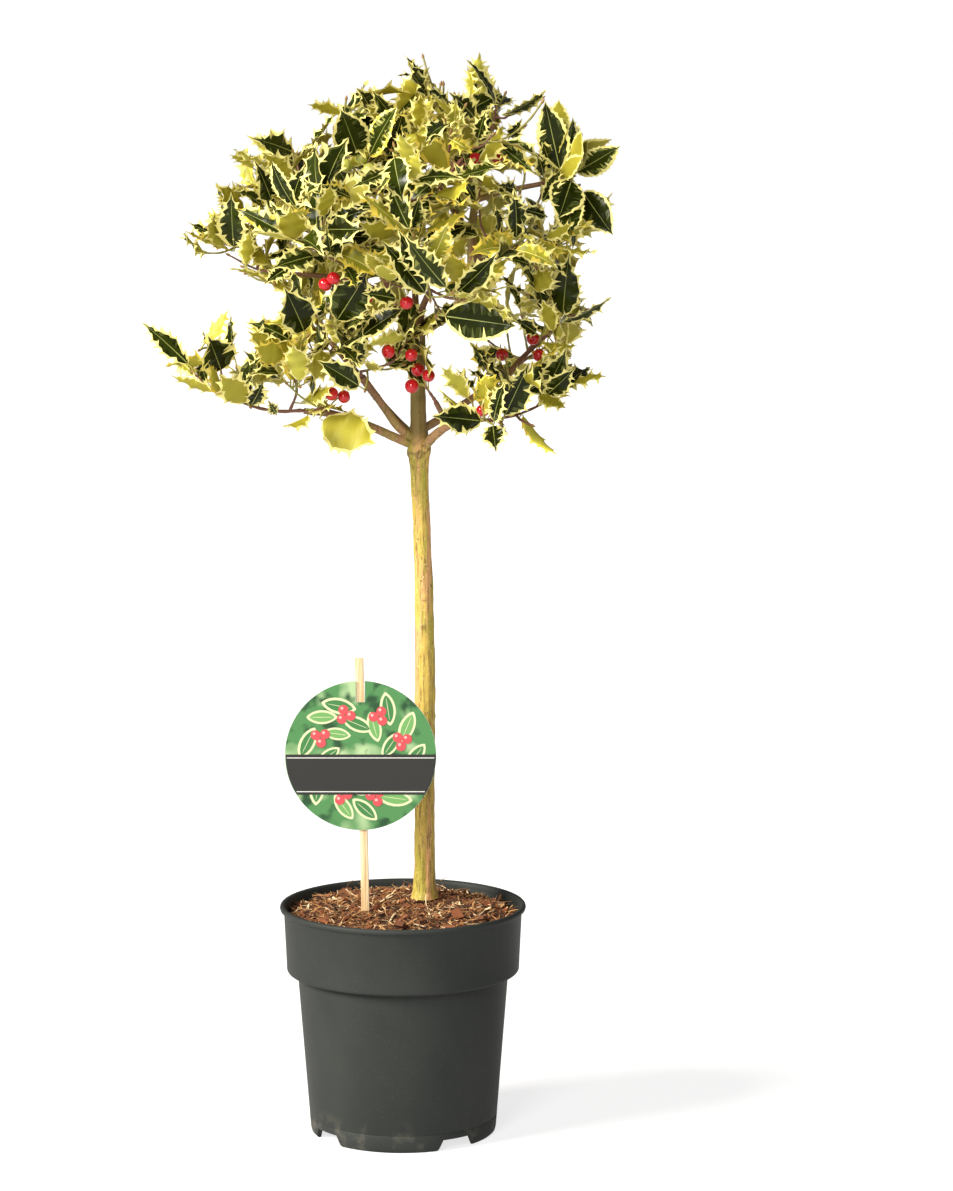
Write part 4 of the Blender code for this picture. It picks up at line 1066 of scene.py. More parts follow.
BOUGHS = (
    Bough("bough_low_left", 4.2, 2.5, 0.15,
          ((14, 13, 587), (-6, 4, 596), (-28, -8, 607), (-53, -16, 616), (-81, -20, 620))),
    Bough("bough_left_spur", 3.2, 2.4, 0.6, ((-43, -12, 612), (-50, -22, 616), (-60, -31, 620))),
    Bough("bough_mid_left", 4.0, 2.8, 0.15,
          ((13, 12, 592), (-2, 3, 604), (-15, -9, 623), (-26, -21, 640), (-32, -27, 649))),
    Bough("bough_low_right", 4.4, 2.8, 0.0,
          ((16, 12, 584), (27, 3, 597), (38, -6, 606), (50, -12, 611), (64, -18, 612))),
    Bough("bough_right_spur", 2.6, 2.2, 0.3, ((39, -6, 606), (34, -14, 617), (29, -18, 627))),
    Bough("bough_right_reach", 2.6, 1.9, 0.4,
          ((55, -14, 612), (72, -10, 626), (87, -7, 645), (99, -4, 661), (116, 0, 677))),
    Bough("bough_low_back_left", 3.8, 2.4, 0.7,
          ((14, 13, 592), (-9, 31, 612), (-35, 52, 642), (-62, 70, 672))),
    Bough("bough_low_back_right", 3.8, 2.4, 0.7,
          ((14, 13, 600), (40, 34, 614), (72, 58, 634), (98, 78, 652))),
    Bough("bough_front", 3.6, 2.4, 0.8, ((13, 11, 672), (15, -12, 688), (18, -50, 706), (24, -84, 721))),
    Bough("leader_left", 5.0, 2.8, 0.8,
          ((13, 10, 683), (2, 5, 702), (-13, -1, 728), (-26, -6, 752), (-36, -10, 774))),
    Bough("leader_right", 5.2, 2.6, 0.05,
          ((13, 10, 683), (28, 7, 692), (47, 4, 706), (58, 6, 735), (59, 9, 770), (64, 10, 806),
           (72, 10, 836))),
    Bough("leader_top", 3.0, 2.2, 0.8,
          ((-10, 0, 724), (0, -6, 748), (8, -10, 772), (22, -6, 790), (31, -1, 800))),
    Bough("bough_back", 3.6, 2.2, 0.8, ((13, 11, 668), (12, 40, 692), (10, 76, 718), (9, 106, 736))),
    Bough("bough_left_reach", 2.9, 2.0, 0.9, ((-3, 3, 710), (-26, -2, 722), (-54, -6, 730), (-82, -10, 733))),
    Bough("bough_left_front", 2.7, 2.0, 0.9,
          ((-20, -3, 741), (-34, -32, 749), (-47, -58, 751), (-60, -77, 752))),
    Bough("bough_back_left", 2.9, 2.0, 0.8, ((-17, -3, 735), (-32, 30, 745), (-50, 56, 754), (-66, 78, 760))),
    Bough("bough_upper_left", 2.4, 1.9, 0.9, ((-30, -8, 760), (-46, -4, 771), (-69, 0, 782))),
    Bough("bough_upper_right", 2.6, 2.0, 0.3, ((62, 10, 794), (80, 6, 800), (98, 3, 804), (118, 0, 808))),
    Bough("bough_right_back", 2.7, 2.0, 0.7, ((58, 7, 740), (78, 34, 746), (104, 76, 750))),
    Bough("bough_right_front", 2.7, 2.0, 0.7, ((53, 5, 718), (58, -24, 738), (68, -57, 754))),
    Bough("bough_upper_front", 2.4, 1.9, 0.8, ((2, -7, 754), (2, -44, 770), (5, -77, 783))),
    Bough("bough_upper_back", 2.7, 2.0, 0.7, ((59, 8, 762), (46, 48, 782), (32, 96, 800))),
    Bough("bough_high_front", 2.2, 1.8, 0.7, ((24, -5, 792), (30, -30, 808), (36, -54, 822))),
    Bough("bough_high_back", 2.3, 1.8, 0.7, ((66, 10, 812), (60, 34, 824), (50, 62, 836))),
)

SPRAYS = (
    Spray("spray_low_left", "bough_low_left", 11,
          ((-101, -24, 620), (-122, -28, 624), (-140, -30, 632), (-157, -32, 639), (-171, -33, 652)),
          (((-87, -20, 636), (-91, -18, 650), (-104, -14, 664)), ((-149, -24, 650), (-156, -20, 672))),
          (), 2, dark=0.60),
    Spray("spray_left_spur", "bough_left_spur", 12, ((-65, -38, 624), (-72, -44, 622)), (),
          ((-47, -34, 633), (-57, -43, 636)), 1),
    Spray("spray_mid_left", "bough_mid_left", 13, ((-42, -30, 655), (-53, -31, 661), (-76, -34, 673)),
          (((-20, -34, 657), (-6, -37, 663), (6, -36, 680)), ((-52, -44, 680),)),
          ((-10, -44, 671), (9, -42, 668)), 3),
    Spray("spray_low_right", "bough_low_right", 14,
          ((82, -24, 614), (99, -24, 618), (118, -16, 626), (132, -8, 636)),
          (((86, -38, 630), (90, -44, 645)), ((99, -36, 614), (108, -40, 610)),
           ((74, -36, 612), (66, -44, 616))),
          ((84, -22, 667), (68, -28, 621)), 2, dark=0.62),
    Spray("spray_knuckle", "bough_right_spur", 15, ((24, -19, 635), (21, -20, 640)), (),
          ((23, -27, 650), (14, -15, 654), (9, -25, 641)), 0),
    Spray("spray_right_reach", "bough_right_reach", 16, ((126, 0, 685), (134, 0, 696), (137, 0, 709)),
          (((146, 5, 698), (154, 8, 702)), ((122, -12, 692), (118, -18, 700))),
          ((115, -14, 666), (110, -12, 680)), 3, dark=0.66),
    Spray("spray_low_back_left", "bough_low_back_left", 17, ((-76, 82, 682), (-90, 94, 690)),
          (((-70, 60, 692), (-82, 50, 700)), ((-60, 92, 690), (-50, 104, 696)))),
    Spray("spray_low_back_right", "bough_low_back_right", 18, ((112, 92, 660), (126, 104, 668)),
          (((108, 60, 668), (118, 48, 676)), ((84, 96, 664), (74, 110, 670)))),
    Spray("spray_front", "bough_front", 19, ((23, -96, 728), (20, -112, 738)),
          (((38, -98, 718), (52, -106, 716)), ((4, -98, 726), (-12, -104, 732)), ((32, -84, 708),)),
          ((6, -84, 713), (-26, -80, 718)), 3),
    Spray("spray_leader_left", "leader_left", 20, ((-33, -13, 796), (-28, -14, 818), (-24, -10, 836)),
          (((-44, -8, 820), (-55, -2, 852)), ((-24, 0, 848), (-24, 5, 866))),
          ((-32, -34, 829), (-44, -35, 823), (-25, -38, 820))),
    Spray("spray_leader_right", "leader_right", 21, ((76, 8, 852), (79, 6, 870)),
          (((86, 4, 862), (92, 0, 867)), ((64, 20, 858), (57, 26, 870))), ((80, -6, 830), (62, -2, 828)), 4),
    Spray("spray_leader_top", "leader_top", 22, ((33, 0, 824), (29, 0, 854), (22, 0, 877)),
          (((44, -12, 850), (50, -14, 870)), ((12, -20, 842), (0, -24, 858))), dark=0.38),
    Spray("spray_back", "bough_back", 23, ((6, 124, 746), (2, 142, 756)),
          (((34, 122, 744), (46, 130, 750)), ((-24, 122, 742), (-36, 132, 748)))),
    Spray("spray_left_reach", "bough_left_reach", 24, ((-104, -12, 735), (-121, -14, 738), (-142, -18, 749)),
          (((-116, -10, 753), (-133, -14, 762)),)),
    Spray("spray_left_front", "bough_left_front", 25, ((-72, -94, 759), (-84, -106, 764)),
          (((-58, -98, 772),), ((-44, -96, 744),)), ((-60, -84, 728), (-53, -90, 733))),
    Spray("spray_back_left", "bough_back_left", 26, ((-82, 94, 766), (-102, 108, 773)),
          (((-64, 98, 790),), ((-92, 66, 770), (-108, 56, 776)))),
    Spray("spray_upper_left", "bough_upper_left", 27, ((-84, -4, 794), (-98, -6, 811), (-108, -6, 826)),
          (((-85, 10, 811), (-88, 16, 828)), ((-108, 2, 796), (-128, 0, 803)))),
    Spray("spray_upper_right", "bough_upper_right", 28, ((131, 0, 813), (142, -2, 814)),
          (((129, 2, 823),), ((140, -10, 804),)), (), 1, dark=0.70),
    Spray("spray_right_back", "bough_right_back", 29, ((118, 88, 756), (140, 96, 764)),
          (((112, 90, 778), (118, 94, 796)), ((132, 58, 758), (142, 44, 764))), dark=0.70),
    Spray("spray_right_front", "bough_right_front", 30, ((80, -74, 760), (94, -86, 760)),
          (((67, -70, 774), (65, -78, 790)), ((100, -52, 756), (118, -48, 760))), dark=0.66),
    Spray("spray_upper_front", "bough_upper_front", 31, ((3, -92, 796), (1, -104, 812)),
          (((-12, -98, 788),), ((26, -88, 800), (38, -90, 812))), dark=0.40),
    Spray("spray_upper_back", "bough_upper_back", 32, ((30, 112, 814), (27, 126, 836)),
          (((56, 104, 812), (70, 100, 824)), ((4, 104, 816), (-10, 100, 828)))),
    Spray("spray_high_front", "bough_high_front", 33, ((40, -66, 834), (42, -72, 850)),
          (((64, -62, 838), (76, -60, 848)),), dark=0.38),
    Spray("spray_high_back", "bough_high_back", 34, ((46, 72, 848), (40, 76, 864)),
          (((20, 70, 850), (8, 66, 862)),)),
)


@dataclass
class Limbs:
    """The stem and the boughs, in bark with its streaks, scars and swellings raised."""

    foot: float = 197.8 * MM
    trunk_stations: tuple[tuple[tuple[float, float], float, float], ...] = (
        ((18.0, 22.0), 0.0, 12.2), ((18.0, 21.8), 7.0, 10.2), ((18.2, 21.5), 24.0, 9.0),
        ((18.6, 21.0), 102.0, 8.6), ((19.0, 20.0), 215.0, 8.3), ((17.8, 18.0), 285.0, 7.6),
        ((15.4, 15.0), 345.0, 7.2), ((14.4, 13.5), 374.0, 8.0), ((14.0, 13.0), 386.0, 10.2),
        ((13.8, 12.8), 397.0, 9.0), ((13.6, 12.4), 409.0, 6.9), ((13.4, 11.4), 447.0, 6.5),
        ((13.0, 10.4), 474.0, 6.7), ((13.0, 10.0), 487.0, 6.3),
    )
    trunk_sides: int = 40
    trunk_step: float = 1.7 * MM
    bough_sides: int = 12
    steps_per_span: int = 9
    knuckle: float = 583.0 * MM
    knuckle_middle: Vector = field(default_factory=lambda: Vector((14.0, 13.0, 0.0)) * MM)
    knuckle_reach: float = 9.2 * MM
    lumps: int = 7
    scars: int = 26
    seed: int = 3

    def trunk_path(self) -> tuple[list[Vector], list[float]]:
        """The stem's closely spaced stations and their radii."""
        coarse = [Vector((x * MM, y * MM, self.foot + z * MM)) for (x, y), z, _ in self.trunk_stations]
        widths = [radius * MM for _, _, radius in self.trunk_stations]
        run = lengths_along(coarse)
        count = int(run[-1] / self.trunk_step)
        path, radii = [], []
        for step in range(count + 1):
            distance = run[-1] * step / count
            path.append(point_at(coarse, distance)[0])
            radii.append(float(np.interp(distance, run, widths)))
        return path, radii

    def paths(self) -> tuple[dict[str, list[Vector]], dict[str, list[float]]]:
        """Each limb's path and radii by its name."""
        path, radii = self.trunk_path()
        paths, widths = {"trunk": path}, {"trunk": radii}
        for bough in BOUGHS:
            through = [Vector(place) * MM for place in bough.through]
            paths[bough.name] = smooth_path(through, self.steps_per_span)
            widths[bough.name] = tapered(paths[bough.name], bough.root * MM, bough.tip * MM)
        return paths, widths

    def relief(self, place: Vector, out: Vector, size: float) -> float:
        """How far the bark stands out at a place: long ridges, lumps and fine grain."""
        around = out * 2.2
        ridges = noise.noise(Vector((around.x, around.y, place.z * 14.0)) * 1.6)
        lumps = noise.noise(place * 90.0)
        fine = noise.noise(Vector((place.x * 500.0, place.y * 500.0, place.z * 160.0)))
        return (ridges * 0.075 + lumps * 0.06 + fine * 0.03) * size

    def crumpled(self, place: Vector) -> float:
        """How deep in a crease of the knuckle's crumpled bark a place lies."""
        near = math.exp(-((place.z - self.knuckle) / (13.0 * MM)) ** 2)
        return near * max(0.0, 1.0 - abs(noise.noise(place * 130.0)) * 5.0)

    def carve(self, shape: bmesh.types.BMesh, path: Sequence[Vector], marks: Sequence[tuple[Vector, float]],
              old: Callable[[Vector], float]) -> None:
        """Raises the bark's relief, its scars as lipped swellings, and notes age, scars and the painted shade
        of creases on each point.
        """
        age = shape.verts.layers.float.new("age")
        scar_and_crease_shade = shape.verts.layers.float.new("scar_and_crease_shade")
        reach = np.array(path)
        shape.normal_update()
        for vert in shape.verts:
            middle = Vector(reach[np.argmin(((reach - np.array(vert.co)) ** 2).sum(1))])
            size = (vert.co - middle).length
            rise = self.relief(vert.co, vert.normal, size)
            for place, radius in marks:
                away = (vert.co - place).length / radius
                if away < 1.6:
                    swelling = 0.34 * math.exp(-(away * 1.5) ** 2)
                    rise += radius * (swelling - 0.22 * math.exp(-(away * 4.0) ** 2))
                    vert[scar_and_crease_shade] = max(vert[scar_and_crease_shade], 0.85 * math.exp(-(away * 2.4) ** 2))
            crease = self.crumpled(vert.co)
            # Painted shade: how deep a crease is darkens the bark there, through the scar mask.
            vert[scar_and_crease_shade] = max(vert[scar_and_crease_shade], 0.8 * crease)
            vert[age] = old(vert.co)
            vert.co = vert.co + vert.normal * (rise - crease * 0.8 * MM)

    def trunk(self, draw: random.Random) -> bmesh.types.BMesh:
        """The stem in its bark."""
        path, radii = self.trunk_path()
        shape = tube(path, radii, self.trunk_sides)
        lowest = min(vert.co.z for vert in shape.verts)
        marks = []
        for _ in range(self.scars):
            place, _ = point_at(path, draw.uniform(0.04, 0.98) * lengths_along(path)[-1])
            around = draw.uniform(0, math.tau)
            marks.append((place + Vector((math.cos(around), math.sin(around), 0)) * 8.0 * MM,
                          draw.uniform(1.6, 3.4) * MM))
        for turn in range(self.lumps):
            around = math.tau * turn / self.lumps + 0.4
            level = self.knuckle + draw.uniform(-7.0, 7.0) * MM
            side = Vector((math.cos(around), math.sin(around), 0)) * self.knuckle_reach
            marks.append((self.knuckle_middle + side + UP * level, draw.uniform(2.4, 4.2) * MM))

        def old(place: Vector) -> float:
            """Darker above the knuckle."""
            above = (place.z - self.knuckle - 4.0 * MM) / (14.0 * MM)
            return max(0.0, min(0.88, above))

        self.carve(shape, path, marks, old)
        for vert in shape.verts:
            vert.co.z = max(vert.co.z, lowest)
        return shape

    def build(self) -> None:
        """Makes the stem as one piece and the boughs as another."""
        draw = random.Random(self.seed)
        olive = BarkFinish("bark_stem", (0.62, 0.43, 0.078), (0.72, 0.38, 0.145), (0.45, 0.37, 0.045),
                           (0.150, 0.105, 0.025))
        brown = BarkFinish("bark_bough", (0.44, 0.32, 0.075), (0.52, 0.28, 0.13), (0.30, 0.27, 0.045),
                           (0.200, 0.098, 0.046))
        stem = object_from("stem_bark", self.trunk(draw), [olive.build()], 60.0)
        placed(stem, "bark", ["trunk"])
        gathered = bmesh.new()
        gathered.verts.layers.float.new("age")
        gathered.verts.layers.float.new("scar_and_crease_shade")
        paths, widths = self.paths()
        for bough in BOUGHS:
            path, radii = paths[bough.name], widths[bough.name]
            shape = tube(path, radii, self.bough_sides)
            reach = lengths_along(path)[-1]
            marks = []
            for _ in range(2 + int(reach / (22.0 * MM))):
                place, heading = point_at(path, draw.uniform(0.15, 0.97) * reach)
                aside = aside_at(heading, draw.uniform(0, math.tau))
                marks.append((place + aside * bough.tip * MM, draw.uniform(0.9, 1.7) * bough.tip * 0.62 * MM))
            root, tip = path[0], path[-1]
            length = (tip - root).length

            def old(place: Vector, root: Vector = root, length: float = length,
                    age: float = bough.age) -> float:
                """Browner towards the tip."""
                return min(1.0, age + 0.75 * (place - root).length / length)

            self.carve(shape, path, marks, old)
            mesh = bpy.data.meshes.new("bough")
            shape.to_mesh(mesh)
            shape.free()
            gathered.from_mesh(mesh)
            bpy.data.meshes.remove(mesh)
        boughs = object_from("bough_bark", gathered, [brown.build()], 60.0)
        placed(boughs, "bark", [bough.name for bough in BOUGHS])


# The leaves

class Zone(IntEnum):
    """The parts of a leaf that are dealt colours of their own."""

    RIB = 0
    CENTRE = 1
    BLOTCH = 2
    FRINGE = 3
    MARGIN = 4
    UNDER = 5
    UNDER_MARGIN = 6


class Tint(Enum):
    """How a leaf is coloured: old and dark, in between, or young and golden."""

    DARK = "dark"
    MIXED = "mixed"
    GOLD = "gold"


class Edge(Enum):
    """How a leaf's edge runs: waved with long spines, or flat with fine teeth."""

    SPINY = "spiny"
    FLAT = "flat"


LEAF_FINISHES = (
    PlainFinish("leaf_deep", (0.013, 0.018, 0.0010), 0.22, shine=0.18),
    PlainFinish("leaf_green", (0.026, 0.036, 0.0022), 0.24, shine=0.20),
    PlainFinish("leaf_grey_green", (0.076, 0.088, 0.020), 0.28, shine=0.25),
    PlainFinish("leaf_sage", (0.27, 0.28, 0.060), 0.34, shine=0.35),
    PlainFinish("leaf_cream", (0.94, 0.84, 0.285), 0.42, shine=0.35),
    PlainFinish("leaf_gold", (0.86, 0.66, 0.085), 0.42, shine=0.35),
    PlainFinish("leaf_lime", (0.34, 0.32, 0.024), 0.36, shine=0.35),
    PlainFinish("leaf_under_olive", (0.40, 0.35, 0.028), 0.5, shine=0.3),
    PlainFinish("leaf_under_lime", (0.52, 0.48, 0.060), 0.5, shine=0.3),
    PlainFinish("leaf_rib", (0.32, 0.35, 0.080), 0.4),
)
DEEP, GREEN, GREY, SAGE, CREAM, GOLD, LIME, OLIVE_UNDER, LIME_UNDER, RIB_PALE = range(len(LEAF_FINISHES))
TWIG_FINISHES = (
    PlainFinish("twig_brown", (0.200, 0.085, 0.050), 0.55),
    PlainFinish("twig_olive", (0.260, 0.235, 0.050), 0.5),
    PlainFinish("petiole", (0.420, 0.400, 0.095), 0.45),
    PlainFinish("bud", (0.300, 0.160, 0.050), 0.5),
    PlainFinish("bract", (0.260, 0.105, 0.062), 0.7),
)
BROWN_TWIG, OLIVE_TWIG, STALK, BUD, BRACT = range(len(TWIG_FINISHES))
BERRY_FINISHES = (
    PlainFinish("berry_red", (0.60, 0.006, 0.014), 0.16, 0.5),
    PlainFinish("berry_green", (0.52, 0.54, 0.10), 0.25, 0.3),
    PlainFinish("berry_tip", (0.045, 0.015, 0.010), 0.6),
)
RIPE, UNRIPE, TIP = range(len(BERRY_FINISHES))


@dataclass(frozen=True)
class ShownLeaf:
    """A leaf that the photograph shows plainly.

    Its base and tip are points of the photograph's frame, its depth and width are in millimetres, and its
    turn is how far it is rolled about its length from facing the camera, in degrees.
    """

    base: tuple[float, float]
    tip: tuple[float, float]
    depth: float
    width: float
    turn: float
    tint: Tint
    length: float = 0.0
    edge: Edge = Edge.SPINY
    curl: float = 0.35
    wave: float = 0.11


D, M, G, F = Tint.DARK, Tint.MIXED, Tint.GOLD, Edge.FLAT
SHOWN_LEAVES = (
    ShownLeaf((188, 364), (142, 322), -34, 24, 15, D, wave=0.04),
    ShownLeaf((205, 343), (229, 309), -30, 18, 150, G, curl=0.15),
    ShownLeaf((221, 370), (208, 336), -24, 40, 10, D, 42, curl=0.1, wave=0.07),
    ShownLeaf((212, 391), (169, 375), -36, 24, 128, D, curl=-0.3),
    ShownLeaf((246, 402), (219, 374), -44, 32, 170, G, 44, curl=-0.2, wave=0.08),
    ShownLeaf((251, 405), (264, 380), -38, 24, 20, D, 30),
    ShownLeaf((284, 380), (249, 374), -46, 22, 62, D, 42, curl=0.9),
    ShownLeaf((276, 414), (268, 400), -26, 16, 5, M, 18, curl=0.1, wave=0.04),
    ShownLeaf((283, 358), (254, 347), -56, 27, 172, G, 38, curl=-0.3, wave=0.08),
    ShownLeaf((289, 340), (246, 322), -50, 24, 35, D, curl=0.7, wave=0.16),
    ShownLeaf((299, 381), (293, 344), -58, 28, 160, D, 42, curl=0.3),
    ShownLeaf((323, 420), (376, 444), -34, 45, 160, G, 52, curl=0.2, wave=0.12),
    ShownLeaf((304, 401), (333, 386), -36, 22, 150, D, 34),
    ShownLeaf((309, 409), (335, 405), -26, 20, 115, G, 30),
    ShownLeaf((304, 331), (284, 287), -62, 38, 12, D, 50, wave=0.10),
    ShownLeaf((359, 386), (317, 360), -62, 28, 8, D, 46, wave=0.09),
    ShownLeaf((234, 247), (231, 192), -26, 32, -8, D, 50, curl=0.5, wave=0.06),
    ShownLeaf((229, 250), (184, 231), -20, 20, 66, G, 46, curl=-0.3),
    ShownLeaf((246, 265), (250, 229), -34, 22, 188, G, 34),
    ShownLeaf((263, 210), (235, 190), -8, 22, 48, D, 40, curl=0.9),
    ShownLeaf((274, 209), (254, 159), -24, 25, 24, D, 50, wave=0.09),
    ShownLeaf((292, 152), (252, 138), 0, 30, 20, D, 44, curl=0.5, wave=0.16),
    ShownLeaf((292, 178), (262, 152), -16, 24, 165, G, 40, wave=0.14),
    ShownLeaf((253, 168), (229, 154), -4, 18, 140, G, 32),
    ShownLeaf((291, 208), (305, 164), -18, 26, -30, D, 44),
    ShownLeaf((293, 240), (290, 206), -104, 34, 176, G, 40, curl=-0.2, wave=0.10),
    ShownLeaf((313, 256), (272, 268), -106, 27, 14, M, 44, wave=0.09),
    ShownLeaf((266, 281), (229, 268), -40, 18, 115, D, 42),
    ShownLeaf((288, 268), (264, 284), -84, 20, 20, D, 30),
    ShownLeaf((342, 114), (307, 104), -12, 20, 140, G, 34),
    ShownLeaf((358, 156), (341, 110), -36, 33, 6, D, 48, F, 0.2, 0.02),
    ShownLeaf((370, 156), (397, 107), -38, 28, -42, M, 52, F, 0.25, 0.03),
    ShownLeaf((388, 156), (403, 110), -34, 28, 30, D, 48, F, 0.3, 0.02),
    ShownLeaf((428, 97), (407, 60), 0, 24, 48, D, 44, curl=-0.5, wave=0.20),
    ShownLeaf((495, 105), (467, 59), 6, 22, 52, D, 52, curl=0.5, wave=0.08),
    ShownLeaf((370, 110), (357, 88), -16, 24, 40, D, 34, wave=0.18),
    ShownLeaf((384, 122), (366, 104), -30, 18, 170, G, 26, wave=0.14),
    ShownLeaf((417, 129), (421, 93), -22, 22, 176, G, 36, wave=0.16),
    ShownLeaf((453, 138), (456, 98), -30, 24, 8, G, 42, wave=0.17),
    ShownLeaf((474, 117), (449, 92), -22, 26, 22, D, 36, wave=0.12),
    ShownLeaf((478, 139), (486, 110), -66, 20, -12, D, 34, wave=0.08),
    ShownLeaf((448, 169), (414, 132), -66, 28, 168, G, 48, wave=0.10),
    ShownLeaf((479, 161), (504, 124), -12, 24, 140, G, 46, curl=0.6),
    ShownLeaf((394, 158), (403, 203), -108, 30, 10, D, 46, wave=0.09),
    ShownLeaf((402, 182), (420, 151), -98, 27, 160, G, 38, wave=0.10),
    ShownLeaf((389, 172), (351, 188), -88, 24, 22, M, 44, wave=0.08),
    ShownLeaf((351, 198), (320, 184), -86, 20, 20, M, 38, wave=0.07),
    ShownLeaf((435, 196), (470, 182), -92, 24, 132, G, 44),
    ShownLeaf((425, 293), (381, 240), -112, 31, 18, D, 58, wave=0.08),
    ShownLeaf((446, 287), (404, 235), -120, 30, -16, M, 58, wave=0.09),
    ShownLeaf((457, 292), (498, 252), -110, 28, 30, D, 52, wave=0.10),
    ShownLeaf((337, 320), (368, 271), -72, 38, 8, D, 52, curl=0.3, wave=0.12),
    ShownLeaf((396, 299), (362, 293), -102, 24, 22, D, 34, wave=0.10),
    ShownLeaf((407, 338), (365, 345), -48, 24, 140, G, 40, wave=0.08),
    ShownLeaf((456, 283), (452, 253), -104, 28, 165, G, 38, wave=0.08),
    ShownLeaf((394, 236), (357, 222), -92, 25, 150, G, 40, curl=-0.4, wave=0.08),
    ShownLeaf((410, 228), (420, 195), -88, 26, 18, M, 34, wave=0.10),
    ShownLeaf((426, 229), (471, 208), -82, 22, 120, G, 46, wave=0.06),
    ShownLeaf((331, 254), (326, 227), -98, 22, 14, M, 34, wave=0.08),
    ShownLeaf((445, 316), (516, 326), -94, 36, 4, D, 60, F, 0.2, 0.05),
    ShownLeaf((533, 290), (553, 270), -40, 28, 178, G, 34, wave=0.14),
    ShownLeaf((563, 315), (569, 255), -16, 33, -10, D, 54, curl=0.3, wave=0.08),
    ShownLeaf((562, 322), (612, 297), -8, 22, 58, D, 50, curl=0.3),
    ShownLeaf((553, 331), (542, 299), -22, 23, 165, G, 36, wave=0.14),
    ShownLeaf((564, 247), (598, 252), -46, 20, 118, D, 36, wave=0.2),
    ShownLeaf((546, 237), (575, 222), -48, 21, 140, G, 36),
    ShownLeaf((531, 239), (567, 254), -56, 22, 150, G, 40, wave=0.08),
    ShownLeaf((516, 238), (514, 188), -88, 26, 26, D, 46, wave=0.13),
    ShownLeaf((511, 247), (493, 231), -86, 20, 160, G, 30),
    ShownLeaf((530, 265), (505, 258), -72, 22, 30, M, 34, wave=0.13),
    ShownLeaf((481, 421), (432, 416), -52, 31, 6, D, 50, wave=0.13),
    ShownLeaf((494, 421), (505, 381), -50, 24, -28, D, 44, wave=0.10),
    ShownLeaf((505, 415), (529, 363), -48, 33, 4, D, 52, wave=0.10),
    ShownLeaf((545, 392), (567, 347), -16, 28, 14, M, 48, wave=0.09),
    ShownLeaf((547, 394), (575, 368), -26, 25, 14, D, 42, wave=0.09),
    ShownLeaf((572, 384), (607, 376), -12, 22, 118, G, 40, curl=-0.5, wave=0.18),
    ShownLeaf((540, 394), (567, 409), -24, 23, 140, G, 38, wave=0.14),
    ShownLeaf((523, 416), (558, 456), -32, 20, 125, G, 52, curl=0.5, wave=0.05),
    ShownLeaf((493, 426), (496, 452), -40, 26, 5, D, 28, curl=0.2),
    ShownLeaf((501, 420), (508, 436), -30, 13, 120, G, 22),
    ShownLeaf((486, 369), (470, 342), -36, 23, 30, M, 36, wave=0.15),
    ShownLeaf((468, 398), (441, 366), -48, 24, 160, G, 42, wave=0.16),
    ShownLeaf((474, 400), (497, 374), -44, 24, 172, G, 36, wave=0.14),
    ShownLeaf((536, 333), (513, 318), -24, 20, 14, D, 32, wave=0.12),
    ShownLeaf((544, 343), (579, 346), -16, 21, 130, G, 38, curl=0.5),
    ShownLeaf((504, 114), (546, 90), 0, 20, 62, M, 48, F),
    ShownLeaf((560, 169), (545, 101), -6, 29, -6, D, 58, F, 0.2, 0.02),
    ShownLeaf((561, 169), (573, 117), 8, 24, 46, D, 50, F, 0.3, 0.02),
    ShownLeaf((576, 172), (620, 146), -2, 26, 12, M, 50, F, 0.25, 0.02),
    ShownLeaf((571, 181), (559, 218), -16, 33, -6, D, 42, F, 0.2, 0.02),
    ShownLeaf((583, 192), (613, 235), -6, 29, 10, D, 50, F, 0.2, 0.02),
    ShownLeaf((543, 175), (536, 152), -14, 17, 34, D, 28, F),
    ShownLeaf((551, 168), (542, 142), 4, 20, 20, D, 32, F),
    ShownLeaf((497, 144), (536, 175), -12, 26, -20, M, 46, wave=0.06),
    ShownLeaf((510, 137), (522, 119), 0, 19, 14, D, 26, wave=0.14),
    ShownLeaf((519, 168), (491, 163), -18, 18, 112, G, 34),
    ShownLeaf((516, 190), (497, 185), -22, 22, 24, D, 30, wave=0.14),
    ShownLeaf((545, 216), (520, 209), -36, 20, 26, D, 32, wave=0.16),
)

